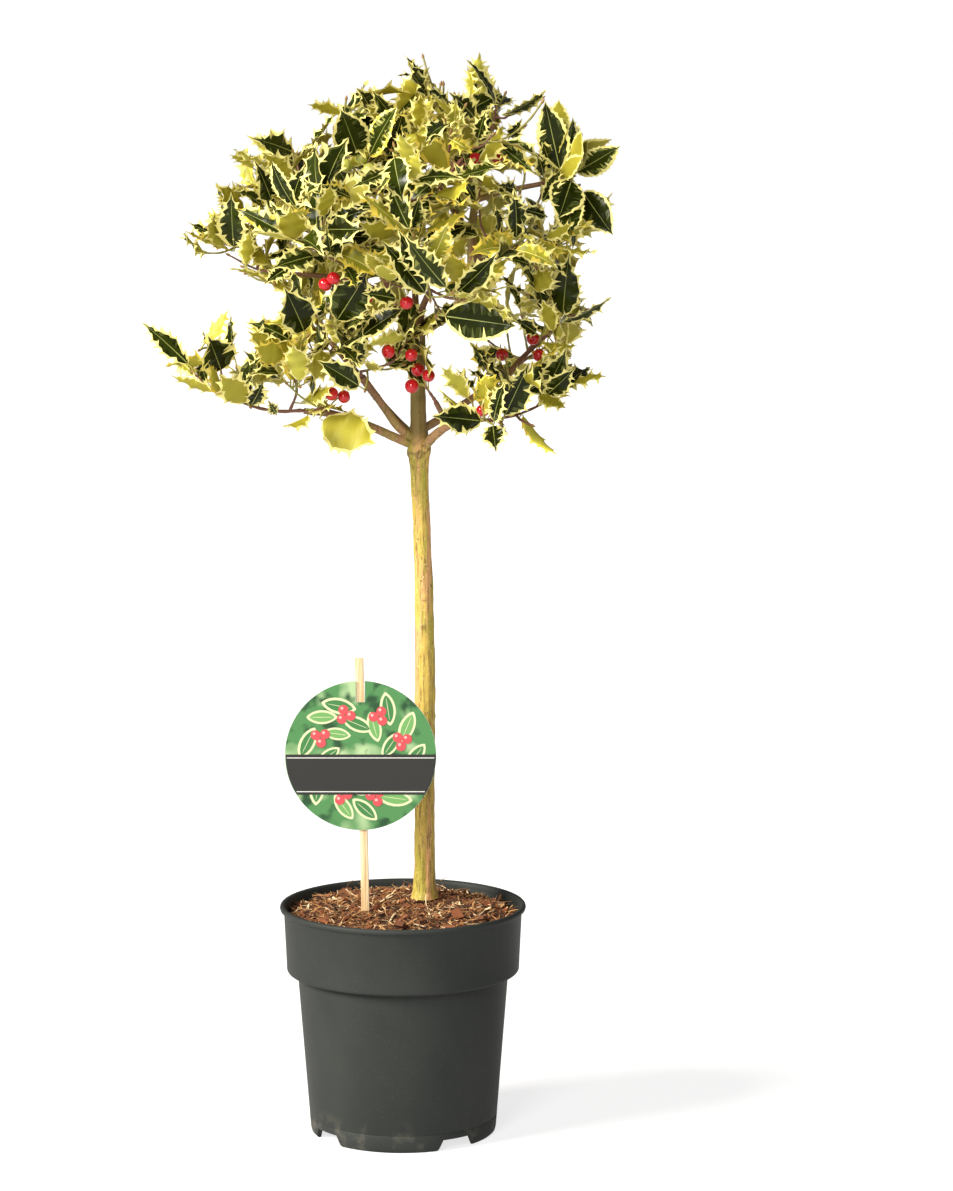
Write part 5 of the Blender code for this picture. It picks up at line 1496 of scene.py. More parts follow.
# Where the photograph shows sky within the crown: left, upper, right and lower edge in its frame
OPEN_SKY = (
    (429, 326, 466, 372), (429, 372, 440, 414), (470, 328, 540, 341), (510, 341, 534, 362),
    (212, 276, 284, 321), (346, 396, 398, 432), (262, 384, 300, 410), (500, 176, 545, 186),
    (546, 190, 560, 216), (580, 240, 630, 300), (432, 50, 465, 90), (186, 252, 226, 306),
    (440, 430, 490, 470), (556, 412, 630, 470), (500, 60, 545, 88), (300, 60, 352, 100),
    (160, 400, 240, 470), (512, 396, 536, 414), (431, 118, 441, 125), (418, 152, 424, 158),
    (414, 170, 423, 178), (342, 174, 352, 179), (424, 192, 432, 200), (493, 133, 506, 144),
    (488, 169, 500, 180), (448, 187, 462, 192), (477, 197, 486, 213), (368, 209, 379, 215),
    (389, 213, 397, 221), (373, 194, 383, 199), (243, 196, 254, 214), (510, 225, 518, 232),
    (557, 232, 566, 246), (519, 205, 527, 213), (535, 220, 543, 227), (259, 241, 265, 248),
    (253, 267, 259, 274), (500, 295, 518, 303), (515, 277, 523, 283), (395, 324, 403, 331),
    (462, 296, 470, 303), (300, 96, 312, 102), (380, 70, 400, 90), (256, 176, 262, 184),
    (262, 106, 296, 134), (296, 112, 316, 126), (524, 104, 543, 142), (508, 108, 522, 117),
    (180, 186, 209, 222), (196, 160, 230, 188), (163, 308, 196, 336), (196, 318, 204, 352),
    (186, 336, 200, 346), (340, 48, 385, 84), (384, 48, 403, 100), (294, 122, 318, 148),
    (497, 58, 520, 98), (565, 76, 620, 116), (586, 112, 628, 133), (576, 230, 592, 243),
    (505, 432, 528, 470), (546, 420, 575, 436), (378, 372, 404, 392), (368, 352, 384, 363),
    (528, 440, 542, 470), (226, 252, 262, 262),
)


@dataclass(frozen=True)
class LeafPattern:
    """The faces of one kind of leaf, with each point's station along the blade and its column across it."""

    stations: int
    rim: int
    station: np.ndarray
    column: np.ndarray
    sheet: np.ndarray
    faces: list[tuple[int, ...]]
    zones: list[Zone]


def leaf_pattern(spines: int) -> LeafPattern:
    """Cuts the pattern of a leaf from an upper and a lower grid that are joined along the rim.

    Args:
        spines: How many spines stand on each side, on every other station.

    Returns:
        The pattern, with its upper face in five zones and its lower face in two.
    """
    rim = 4
    stations = 2 * spines + 2
    shape = bmesh.new()
    sheets = (
        (1, (-4, -3, -2, -1, 1, 2, 3, 4),
         (Zone.MARGIN, Zone.BLOTCH, Zone.CENTRE, Zone.RIB, Zone.CENTRE, Zone.BLOTCH, Zone.MARGIN)),
        (-1, (-4, -3, 0, 3, 4), (Zone.UNDER_MARGIN, Zone.UNDER, Zone.UNDER, Zone.UNDER_MARGIN)),
    )
    for sheet, columns, zones in sheets:
        grid = bmesh.ops.create_grid(shape, x_segments=stations, y_segments=len(zones), size=1.0)["verts"]
        faces = {face for vert in grid for face in vert.link_faces}
        for face in faces:
            face.material_index = zones[int((face.calc_center_median().y + 1) / 2 * len(zones))]
        for vert in grid:
            station = round((vert.co.x + 1) / 2 * stations)
            column = columns[round((vert.co.y + 1) / 2 * len(zones))]
            end = station in (0, stations)
            inside = not end and abs(column) < rim
            vert.co = Vector((station, 0.0 if end else column, sheet * 0.1 if inside else 0.0))
        if sheet < 0:
            bmesh.ops.reverse_faces(shape, faces=list(faces))
    bmesh.ops.remove_doubles(shape, verts=shape.verts, dist=1e-5)
    bmesh.ops.triangulate(shape, faces=[face for face in shape.faces if face.material_index == Zone.BLOTCH])
    for face in shape.faces:
        outer = sum(abs(vert.co.y) > rim - 1.5 for vert in face.verts)
        if face.material_index == Zone.BLOTCH and outer == 2:
            face.material_index = Zone.FRINGE
    edges = [
        edge for edge in shape.edges
        if len({face.material_index >= Zone.UNDER for face in edge.link_faces}) == 2
    ]
    bmesh.ops.bisect_edges(shape, edges=edges, cuts=1)
    shape.verts.index_update()
    places = np.array([vert.co for vert in shape.verts])
    half_way = np.abs(places[:, 0] - np.round(places[:, 0])) > 0.1
    column = np.where(half_way, np.sign(places[:, 1]) * rim, np.round(places[:, 1]))
    pattern = LeafPattern(
        stations, rim, places[:, 0], column, np.sign(np.round(places[:, 2], 3)),
        [tuple(vert.index for vert in face.verts) for face in shape.faces],
        [Zone(face.material_index) for face in shape.faces],
    )
    shape.free()
    return pattern


@dataclass
class LeafShape:
    """One leaf's own form, in metres and radians."""

    length: float
    width: float
    spine: float
    margin: float
    wave: float
    fold: float
    curl: float
    twist: float
    thickness: float = 0.28 * MM

    @classmethod
    def drawn(cls, length: float, edge: Edge, draw: random.Random) -> "LeafShape":
        """A leaf's form, drawn for its length and edge."""
        if edge is Edge.FLAT:
            return cls(length, length * draw.uniform(0.50, 0.60), draw.uniform(1.0, 1.5) * MM,
                       draw.uniform(1.8, 2.7) * MM, draw.uniform(0.01, 0.03), draw.uniform(0.0, 0.25),
                       draw.uniform(-0.1, 0.5), draw.uniform(-0.2, 0.2))
        return cls(length, length * draw.uniform(0.56, 0.72), draw.uniform(3.6, 5.0) * MM,
                   draw.uniform(1.5, 2.6) * MM, draw.uniform(0.07, 0.19), draw.uniform(-0.05, 0.55),
                   draw.uniform(-0.1, 0.9), draw.uniform(-0.45, 0.45))

    def points(self, pattern: LeafPattern, draw: np.random.Generator) -> np.ndarray:
        """Where each point of the pattern lies on this leaf, which starts at the origin and runs along +X."""
        side, level = np.sign(pattern.column), np.abs(pattern.column)
        station = pattern.station
        whole = np.round(station).astype(int)
        half_way = np.abs(station - whole) > 0.1
        spined = ~half_way & (whole % 2 == 0) & (whole > 0) & (whole < pattern.stations)
        ended = (station < 0.1) | (station > pattern.stations - 0.1)
        rim = level == pattern.rim
        shares = draw.uniform(-1, 1, (pattern.stations + 2, 3, 4))
        own = shares[np.floor(station).astype(int), side.astype(int) + 1]
        along = (station + np.where(ended | half_way, 0.0, 0.22 * own[:, 0])) / pattern.stations
        along = np.clip(along, 0.0, 1.0) ** 0.94
        grown = np.clip((along - 0.03) / 0.16, 0.0, 1.0)
        spike = self.spine * grown * (1 + 0.28 * own[:, 1])
        crest = 0.5 * self.width * np.sin(np.pi * along ** 0.86) ** 0.72
        valley = np.maximum(crest - spike * 0.92, crest * 0.42)
        margin = np.minimum(self.margin * (1 + 0.5 * own[:, 2]), valley * 0.5)
        inner = valley - margin + np.where(spined, spike * 0.30, 0.0)
        rim_out = np.where(spined, crest, np.where(half_way, valley + spike * 0.16, valley))
        out = np.select([ended, level == 0, level == 1, level == 2, level == 3],
                        [0.0, 0.0, np.minimum(0.42 * MM * (1.15 - along), valley * 0.2),
                         inner * (0.52 + 0.22 * own[:, 3]), inner], rim_out)
        toward = np.where((np.floor(station) % 2) == 1, 1.0, -1.0)
        x = along * self.length + np.where(spined & rim, spike * 0.42, 0.0)
        x = x + np.where(half_way, toward * 0.10 * self.length / pattern.stations, 0.0)
        x = x + np.where(station > pattern.stations - 0.1, self.spine * 0.8, 0.0)
        first = float(np.sign(draw.uniform(-1, 1)))
        phase = first * np.where((np.round(station / 2) + (side > 0)) % 2 == 0, 1.0, -0.8)
        middle = 0.52 + 0.22 * own[:, 3]
        swing = np.select([spined & rim, half_way, spined & (level == 3), spined & (level == 2)],
                          [1.0, 0.42, 0.42, 0.42 * middle], 0.0)
        lift = phase * swing * grown * self.wave * self.width * (1 + 0.35 * own[:, 3])
        bulge = np.where(level == 2, (0.5 + 0.5 * own[:, 2]) * 0.8 * MM * grown, 0.0)
        z = lift + bulge + pattern.sheet * self.thickness * np.where(level == 1, 1.6, 1.0)
        y = out * math.cos(self.fold) * side
        z = z + out * math.sin(self.fold)
        turn = self.twist * along
        y, z = y * np.cos(turn) - z * np.sin(turn), y * np.sin(turn) + z * np.cos(turn)
        arc = self.curl * x / self.length
        safe = np.where(np.abs(arc) < 1e-4, 1e-4, arc)
        reach = x * np.sin(safe) / safe
        drop = x * (1 - np.cos(safe)) / safe
        return np.stack([reach + z * np.sin(arc), y, z * np.cos(arc) - drop], axis=1)

    def tip(self) -> Vector:
        """Where the leaf's tip lies, before its frame."""
        arc = self.curl if abs(self.curl) > 1e-4 else 1e-4
        return Vector((self.length * math.sin(arc) / arc, 0.0, -self.length * (1 - math.cos(arc)) / arc))


def leaf_slots(pattern: LeafPattern, tint: Tint, draw: random.Random) -> list[int]:
    """Deals a leaf its colours, face by face."""
    if tint is Tint.DARK:
        centre, blotches = draw.choice((DEEP, DEEP, GREEN)), (DEEP, GREEN, GREEN, GREY)
        margin, rib, fringe = (CREAM,), RIB_PALE, 0.12
    elif tint is Tint.MIXED:
        centre, blotches = GREEN, (GREEN, GREY, GREY, SAGE)
        margin, rib, fringe = draw.choice(((CREAM,), (CREAM,), (GOLD, CREAM))), RIB_PALE, 0.36
    else:
        centre, blotches = LIME, (LIME, LIME, SAGE, GOLD)
        margin, rib, fringe = draw.choice(((GOLD,), (GOLD, CREAM), (CREAM,))), CREAM, 0.5
    under = draw.choice((OLIVE_UNDER, OLIVE_UNDER, LIME_UNDER))
    under_margin = draw.choice((GOLD, CREAM, CREAM)) if tint is Tint.GOLD else CREAM
    plain = {Zone.RIB: rib, Zone.CENTRE: centre, Zone.UNDER: under, Zone.UNDER_MARGIN: under_margin}
    slots = []
    for zone in pattern.zones:
        if zone is Zone.BLOTCH:
            slots.append(draw.choice(blotches))
        elif zone is Zone.FRINGE:
            slots.append(draw.choice(margin if draw.random() < fringe else blotches))
        elif zone is Zone.MARGIN:
            slots.append(draw.choice(margin))
        else:
            slots.append(plain[zone])
    return slots


class Space:
    """What stands in the crown so far, so that each new leaf can keep clear of it."""

    def __init__(self) -> None:
        """An empty crown."""
        self.low: list[Sequence[float]] = []
        self.high: list[Sequence[float]] = []
        self.trees: list[BVHTree] = []

    def add(self, points: np.ndarray, faces: Sequence[Sequence[int]]) -> None:
        """Notes a shape."""
        self.low.append(points.min(0))
        self.high.append(points.max(0))
        self.trees.append(BVHTree.FromPolygons(points.tolist(), faces))

    def touches(self, points: np.ndarray, faces: Sequence[Sequence[int]]) -> int:
        """How many of the shapes that are there a new shape would cut."""
        low, high = points.min(0), points.max(0)
        near = np.flatnonzero(
            (np.array(self.high) >= low).all(1) & (np.array(self.low) <= high).all(1)
        )
        if not len(near):
            return 0
        tree = BVHTree.FromPolygons(points.tolist(), faces)
        return sum(bool(tree.overlap(self.trees[index])) for index in near)


@dataclass
class Twig:
    """One twig of a spray: its path, its radius at the root and the azimuth of its first leaf."""

    path: list[Vector]
    root: float
    turn: float


CARD_FACES = ((0, 1, 4), (1, 2, 4), (2, 3, 4), (3, 0, 4))
SHEET_FACE = ((0, 1, 2),)


@dataclass
class Crown:
    """Twigs, leaves and berries, grown on from the boughs by the source's rule to finer twigs."""

    leaf_lengths: tuple[float, float] = (38.0 * MM, 53.0 * MM)
    petiole_lengths: tuple[float, float] = (6.0 * MM, 9.5 * MM)
    petiole_radius: float = 0.75 * MM
    twig_root: float = 1.7 * MM
    shoot_root: float = 1.25 * MM
    fine_root: float = 1.0 * MM
    twig_tip: float = 0.8 * MM
    thick_twig: float = 1.1 * MM
    bud_stations: tuple[tuple[float, float], ...] = ((-0.5, 0.8), (1.0, 1.35), (2.4, 1.0), (4.2, 0.2))
    spacing: float = 14.5 * MM
    bare: float = 8.0 * MM
    tip_leans: tuple[float, ...] = (14.0, 42.0, 50.0)
    tip_spacing: float = 3.0 * MM
    tries: int = 8
    retry_turn: float = 0.7
    retry_shrink: float = 0.03
    tilt_spread: float = 0.2
    light_shares: tuple[float, float, float] = (0.3, 0.55, 0.45)
    light_spread: float = 0.42
    flat_share: float = 0.1
    pale_shares: tuple[float, float] = (0.52, 0.48)
    shoot_lengths: tuple[float, float] = (22.0 * MM, 40.0 * MM)
    berry_radius: float = 5.8 * MM
    berry_stalk: tuple[float, float] = (0.8 * MM, 0.65 * MM)
    gap: float = 0.3 * MM
    outline: tuple[tuple[float, float, float], ...] = (
        (575, 60, 135), (594, -75, 135), (618, -132, 140), (643, -182, 160), (668, -207, 155),
        (693, -216, 168), (722, -150, 160), (743, -160, 155), (768, -184, 177), (793, -165, 180),
        (843, -140, 183), (868, -82, 140), (893, -40, 125), (914, -10, 75),
    )
    axis: Vector = field(default_factory=lambda: Vector((13.0, 10.0, 0.0)) * MM)
    depth: float = 162.0 * MM
    roundness: float = 2.6
    unripe: tuple[str, ...] = ("spray_leader_left",)
    flat_sprays: tuple[str, ...] = ("spray_upper_right",)
    sight: Sight = Sight()
    clear_view: float = 110.0 * MM
    stalk_reach: float = 12.0 * MM
    stalk_length: float = 7.0 * MM
    bands: tuple[tuple[str, float], ...] = (("low", 700.0 * MM), ("middle", 780.0 * MM), ("top", math.inf))
    bract_seen: tuple[float, float] = (457.0, 166.0)
    bract_depth: float = -66.0 * MM
    bract_stations: tuple[tuple[float, float], ...] = ((0.5, 0.7), (3.5, 2.0), (6.5, 1.7), (9.5, 0.3))
    bract_reach: float = 9.0 * MM
    bracts: int = 22
    card_share: float = 0.36
    seed: int = 7

    def __post_init__(self) -> None:
        """Starts the joined meshes and the leaf patterns."""
        self.twigs = Gathered()
        self.berries = Gathered()
        self.leaves = {band: Gathered() for band, _ in self.bands}
        self.patterns = {Edge.SPINY: (leaf_pattern(5), leaf_pattern(6)), Edge.FLAT: (leaf_pattern(9),)}
        self.space = Space()
        self.count = 0

    def inside(self, place: Vector) -> bool:
        """Whether a place lies within the crown's reach, which is about as deep as it is wide."""
        height = place.z / MM
        for (low, low_left, low_right), (high, high_left, high_right) in zip(self.outline, self.outline[1:]):
            if low <= height <= high:
                share = (height - low) / (high - low)
                left = (low_left + (high_left - low_left) * share) * MM
                right = (low_right + (high_right - low_right) * share) * MM
                half = (right - left) / 2
                across = abs(place.x - (left + right) / 2) / half
                deep = abs(place.y) / min(half, self.depth)
                return across ** self.roundness + deep ** self.roundness <= 1.0
        return False

    def band_at(self, height: float) -> str:
        """Which joined mesh the leaves at a height go into."""
        return next(band for band, top in self.bands if height < top)

    def band(self, spray: Spray) -> str:
        """Which joined mesh a spray's leaves go into."""
        return self.band_at(spray.stem[0][2] * MM)

    def add_twig(self, twigs: list[Twig], points: list[Vector], root: float, draw: random.Random,
                 forced: bool) -> bool:
        """Adds a twig through the points with a bud at its tip, unless it would cut what is there."""
        path = smooth_path(points, 4)
        radii = tapered(path, root, self.twig_tip)
        card = np.array([path[len(path) // 3], path[-1], path[-1] + UP * MM])
        if not forced and (self.space.touches(card, SHEET_FACE) or not self.inside(path[-1])):
            return False
        if not forced:
            self.space.add(card, SHEET_FACE)
        swell = [radius * (1.0 + 0.16 * math.sin(index * 1.9)) for index, radius in enumerate(radii)]
        self.twigs.add_shape(tube(path, swell, 6), BROWN_TWIG if root > self.thick_twig else OLIVE_TWIG)
        way = tangent_at(path, len(path) - 1)
        bud = [path[-1] + way * reach * MM for reach, _ in self.bud_stations]
        self.twigs.add_shape(tube(bud, [radius * MM for _, radius in self.bud_stations], 6), BUD)
        twigs.append(Twig(path, root, draw.uniform(0, math.tau)))
        return True

    def grow_twigs(self, spray: Spray, start: Vector, heading: Vector, draw: random.Random) -> list[Twig]:
        """The stem from the bough's tip, the named shoots, and the finer shoots by the golden angle."""
        twigs: list[Twig] = []
        first = start + heading * self.gap
        stem = [first, first + heading * 3.0 * MM, *(Vector(place) * MM for place in spray.stem)]
        self.add_twig(twigs, stem, self.twig_root, draw, True)
        main = twigs[0].path
        reach = lengths_along(main)[-1]
        for shoot in spray.shoots:
            places = [Vector(place) * MM for place in shoot]
            points = [point_at(main, reach * (0.12 + 0.82 * step / 24))[0] for step in range(24)]
            root = nearest(points, places[0])
            self.add_twig(twigs, [root, *places], self.shoot_root, draw, True)
        for number in range(spray.side_shoots):
            twig = twigs[number % len(twigs)]
            reach = lengths_along(twig.path)[-1]
            for attempt in range(self.tries):
                place, way = point_at(twig.path, reach * draw.uniform(0.15, 0.85))
                length = draw.uniform(*self.shoot_lengths)
                aside = aside_at(way, twig.turn + GOLDEN_ANGLE * (number * self.tries + attempt))
                out = (way * 0.75 + aside * 0.75 + UP * 0.25).normalized()
                bend = place + out * length * 0.5
                end = bend + (out + UP * 0.3).normalized() * length * 0.5
                if self.add_twig(twigs, [place, bend, end], self.fine_root, draw, False):
                    break
        return twigs

    def sites(self, twigs: list[Twig]) -> list[tuple[Twig, float, float, int]]:
        """Where each leaf may grow: its twig, distance, lean and number."""
        found = []
        for twig in twigs:
            reach = lengths_along(twig.path)[-1]
            steps = max(int((reach - self.bare) / self.spacing), 0)
            for step in range(steps):
                lean = math.radians(66 - 16 * (step + 0.5) / steps)
                found.append((twig, self.bare + self.spacing * step, lean, step))
            for step, degrees in enumerate(self.tip_leans):
                distance = max(reach - self.tip_spacing * (step + 0.2), 0.0)
                found.append((twig, distance, math.radians(degrees), steps + step))
        return found

    def card(self, frame: Matrix, form: LeafShape) -> np.ndarray:
        """A leaf as four corners and a middle, a little smaller than it is, to try whether it fits."""
        tip = form.tip()
        middle = Vector((tip.x * 0.55, 0.0, tip.z * 0.3))
        side = form.width * self.card_share
        lift = side * math.sin(form.fold)
        corners = [
            tip * 0.12, middle + Vector((0, side * math.cos(form.fold), lift)), tip * 0.92,
            middle - Vector((0, side * math.cos(form.fold), -lift)), middle,
        ]
        return np.array([frame @ corner for corner in corners])

    def set_leaf(self, band: str, root: Vector, base: Vector, frame: Matrix, form: LeafShape, edge: Edge,
                 tint: Tint, draw: random.Random) -> None:
        """Adds a leaf and its stalk to the joined meshes."""
        pattern = draw.choice(self.patterns[edge])
        local = form.points(pattern, np.random.default_rng(draw.randrange(1 << 30)))
        turn = np.array(frame.to_3x3())
        points = local @ turn.T + np.array(frame.translation)
        self.leaves[band].add(points, pattern.faces, leaf_slots(pattern, tint, draw))
        ahead = frame.to_3x3() @ Vector((1.0, 0.0, 0.0))
        bend = base - ahead * (base - root).length * 0.45
        path = smooth_path([root, bend, base + ahead * 1.2 * MM], 2)
        radii = tapered(path, self.petiole_radius, self.petiole_radius * 0.7)
        self.twigs.add_shape(tube(path, radii, 4), STALK)
        self.count += 1

    def open_sky(self, points: np.ndarray) -> bool:
        """Whether a leaf's card would close one of the crown's gaps, as seen from the front."""
        seen = np.array([self.sight.seen(Vector(point)) for point in points])
        gaps = np.array(OPEN_SKY, dtype=float)
        low, high = gaps[:, None, :2], gaps[:, None, 2:]
        if ((seen > low) & (seen < high)).all(2).any():
            return True
        middles = (gaps[:, :2] + gaps[:, 2:]) / 2
        sides = []
        for here, there in zip(seen[:4], np.roll(seen[:4], -1, 0)):
            along, away = there - here, middles - here
            sides.append(along[0] * away[:, 1] - along[1] * away[:, 0])
        sides = np.array(sides)
        return bool(((sides > 0).all(0) | (sides < 0).all(0)).any())

    def keep_view(self, start: Vector, end: Vector) -> None:
        """Notes a thin sheet from a line toward the camera, so that no leaf grows in front of it."""
        toward = (Vector(self.sight.camera) - start).normalized() * self.clear_view
        near = toward * 0.02
        sheet = np.array([start + near, end + near, end + toward, start + toward])
        self.space.add(sheet, [(0, 1, 2, 3)])

    def show_leaf(self, shown: ShownLeaf, twigs: list[Twig], draw: random.Random) -> None:
        """Sets one of the leaves that the photograph shows, on a stalk or a fine shoot of its own.

        Args:
            shown: Where and how it is seen.
            twigs: The twigs that may carry it.
            draw: The source of chance.
        """
        base = self.sight.place(*shown.base, shown.depth * MM)
        flat = self.sight.place(*shown.tip, shown.depth * MM)
        missing = max((shown.length * MM) ** 2 - (flat - base).length_squared, 0.0)
        tip = self.sight.place(*shown.tip, shown.depth * MM - math.sqrt(missing))
        reach = (tip - base).length
        bend = abs(shown.curl) / 2
        form = LeafShape.drawn(reach, shown.edge, draw)
        form.length = reach * bend / math.sin(bend) - form.spine * 0.8
        form.width, form.curl, form.wave = shown.width * MM, shown.curl, shown.wave
        form.fold = min(form.fold, 0.3)
        form.twist *= 0.5
        ahead = (tip - base).normalized()
        toward = (Vector(self.sight.camera) - base).normalized()
        facing = (toward - ahead * toward.dot(ahead)).normalized()
        facing = Matrix.Rotation(math.radians(shown.turn), 3, ahead) @ facing
        level = form.tip().rotation_difference(Vector((1.0, 0.0, 0.0))).to_matrix().to_4x4()
        frame = Matrix.Translation(base) @ turn_along(ahead, facing) @ level
        points = [point for twig in twigs for point in twig.path[1:]]
        root = nearest(points, base)
        if (root - base).length > self.stalk_reach:
            foot = base - ahead * self.stalk_length
            middle = (root + foot) / 2 + (root - foot).orthogonal().normalized() * 2.0 * MM
            self.add_twig(twigs, [root, middle, foot], self.fine_root, draw, True)
            root = foot
        self.space.add(self.card(frame, form), CARD_FACES)
        self.keep_view(base, tip)
        self.set_leaf(self.band_at(base.z), root, base, frame, form, shown.edge, shown.tint, draw)

    def grow_bracts(self, twigs: list[Twig], draw: random.Random) -> None:
        """The crumpled dry bracts that the photograph shows among the upper leaves."""
        middle = self.sight.place(*self.bract_seen, self.bract_depth)
        points = [point for twig in twigs for point in twig.path[1:]]
        root = nearest(points, middle)
        self.add_twig(twigs, [root, (root + middle) / 2 + UP * 2.0 * MM, middle], self.fine_root, draw, True)
        for _ in range(self.bracts):
            way = Vector(draw.gauss(0, 1) for _ in range(3)).normalized()
            aside = way.orthogonal().normalized() * draw.uniform(-2.5, 2.5) * MM
            path = [
                middle + way * reach * MM + aside * (reach / 9.0) ** 2
                for reach, _ in self.bract_stations
            ]
            bract = tube(path, [radius * MM for _, radius in self.bract_stations], 5)
            self.twigs.add_shape(bract, draw.choice((BUD, BRACT, BRACT)))
        side = Vector((self.bract_reach, 0.0, 0.0))
        self.keep_view(middle - side, middle + side)
        sheet = np.array([middle - side, middle + side, middle + UP * self.bract_reach])
        self.space.add(sheet, SHEET_FACE)

    def grow_leaf(self, spray: Spray, site: tuple[Twig, float, float, int], draw: random.Random) -> None:
        """Sets one leaf at its site, turned until it is clear, or else leaves it out."""
        twig, distance, lean, number = site
        place, heading = point_at(twig.path, distance)
        flat = spray.name in self.flat_sprays or draw.random() < self.flat_share
        edge = Edge.FLAT if flat else Edge.SPINY
        outward = Vector((place.x - self.axis.x, place.y - self.axis.y, 0.0)).normalized()
        for attempt in range(self.tries):
            aside = aside_at(heading, twig.turn + GOLDEN_ANGLE * number + attempt * self.retry_turn)
            tilt = lean + draw.uniform(-self.tilt_spread, self.tilt_spread)
            way = heading * math.cos(tilt) + aside * math.sin(tilt)
            onward, sideways, upward = self.light_shares
            light = (heading - way * heading.dot(way)) * onward + outward * sideways + UP * upward
            light += Vector(draw.gauss(0, self.light_spread) for _ in range(3))
            length = draw.uniform(*self.leaf_lengths) * (1.0 - self.retry_shrink * attempt)
            form = LeafShape.drawn(length, edge, draw)
            base = place + way * draw.uniform(*self.petiole_lengths)
            frame = Matrix.Translation(base) @ turn_along(way, light)
            if not self.inside(frame @ form.tip()):
                continue
            card = self.card(frame, form)
            if not self.open_sky(card) and self.space.touches(card, CARD_FACES) == 0:
                self.space.add(card, CARD_FACES)
                # The extra dark leaves on the right-hand sprays are partly painted shade on that side of the
                # crown.
                pale = [share * (1.0 - spray.dark) for share in self.pale_shares]
                tint = draw.choices(tuple(Tint), (spray.dark, *pale))[0]
                self.set_leaf(self.band(spray), place, base, frame, form, edge, tint, draw)
                return

    def grow_berries(self, spray: Spray, twigs: list[Twig], draw: random.Random) -> None:
        """The berries on their stalks, each with its dark tip."""
        roots = [point for twig in twigs for point in twig.path[2:]]
        skin = UNRIPE if spray.name in self.unripe else RIPE
        for where in spray.berries:
            place = Vector(where) * MM
            root = nearest(roots, place)
            berry = bmesh.new()
            bmesh.ops.create_uvsphere(berry, u_segments=18, v_segments=12, radius=1.0)
            out = (place - root).normalized()
            for vert in berry.verts:
                dent = 0.10 * math.exp(-((vert.co.z - 1.0) / 0.06) ** 2)
                vert.co.z *= 0.96 - dent
            for face in berry.faces:
                face.material_index = TIP if face.calc_center_median().z > 0.93 else skin
            down = (out + Vector((draw.gauss(0, 0.3), draw.gauss(0, 0.3), -0.4))).normalized()
            size = self.berry_radius * draw.uniform(0.92, 1.03)
            turn = down.to_track_quat("Z", "Y").to_matrix().to_4x4()
            move = Matrix.Translation(place) @ turn @ Matrix.Scale(size, 4)
            bmesh.ops.transform(berry, matrix=move, verts=berry.verts)
            points = np.array([vert.co for vert in berry.verts])
            for offset in (Vector((size * 0.6, 0.0, 0.0)), Vector((0.0, 0.0, size * 0.6))):
                self.keep_view(place - offset, place + offset)
            above = [place.x, place.y, points[:, 2].max()]
            self.space.add(np.array([points.min(0), points.max(0), above]), SHEET_FACE)
            self.berries.add_shape(berry)
            foot = place - down * size * 0.92
            bend = (root + foot) / 2 + Vector((0.0, 0.0, 1.5 * MM))
            path = smooth_path([root, bend, foot], 3)
            self.twigs.add_shape(tube(path, tapered(path, *self.berry_stalk), 5), STALK)

    def build(self, limbs: Limbs) -> None:
        """Grows the whole crown: twigs and berries first, then leaves turn by turn."""
        paths, widths = limbs.paths()
        for name, path in paths.items():
            for start, end in zip(path[::6], path[6::6]):
                wide = UP * widths[name][0] * 0.5
                self.space.add(np.array([start, end + wide, end - wide]), SHEET_FACE)
        waiting = []
        for spray in SPRAYS:
            draw = random.Random(spray.seed)
            path = paths[spray.bough]
            twigs = self.grow_twigs(spray, path[-1], tangent_at(path, len(path) - 1), draw)
            self.grow_berries(spray, twigs, draw)
            waiting.append((spray, draw, self.sites(twigs)))
        carrying = [site[0] for _, _, sites in waiting for site in sites]
        carrying += [Twig(path, 0.0, 0.0) for path in paths.values()]
        draw = random.Random(self.seed)
        self.grow_bracts(carrying, draw)
        for shown in SHOWN_LEAVES:
            self.show_leaf(shown, carrying, draw)
        while any(sites for _, _, sites in waiting):
            for spray, draw, sites in waiting:
                if sites:
                    self.grow_leaf(spray, sites.pop(), draw)
        LOG.info("leaves: %d", self.count)
        finishes = [finish.build() for finish in LEAF_FINISHES]
        for band, gathered in self.leaves.items():
            nodes = [spray.name for spray in SPRAYS if self.band(spray) == band]
            placed(gathered.build(f"leaves_{band}", finishes, 70.0), "foliage", nodes)
        woods = [finish.build() for finish in TWIG_FINISHES]
        placed(self.twigs.build("twigs", woods, 60.0), "bark")
        fruits = [finish.build() for finish in BERRY_FINISHES]
        placed(self.berries.build("berries", fruits, 60.0), "foliage")


# The studio

@dataclass(frozen=True)
class FloorFinish:
    """The studio's plain floor, whose faint glow keeps it white as far as the camera sees."""

    colour: Colour = (0.45, 0.45, 0.45)
    glow: float = 0.74
    glow_as_light: float = 0.30

    def build(self) -> bpy.types.Material:
        """Makes the material."""
        shader = Shader("floor_white", self.colour, 0.9)
        shader.surface.inputs["Emission Color"].default_value = (1.0, 1.0, 1.0, 1.0)
        seen = shader.nodes.new("ShaderNodeLightPath").outputs["Is Camera Ray"]
        glow = shader.ramp(seen, "To", self.glow_as_light, self.glow)
        shader.links.new(glow, shader.surface.inputs["Emission Strength"])
        return shader.material


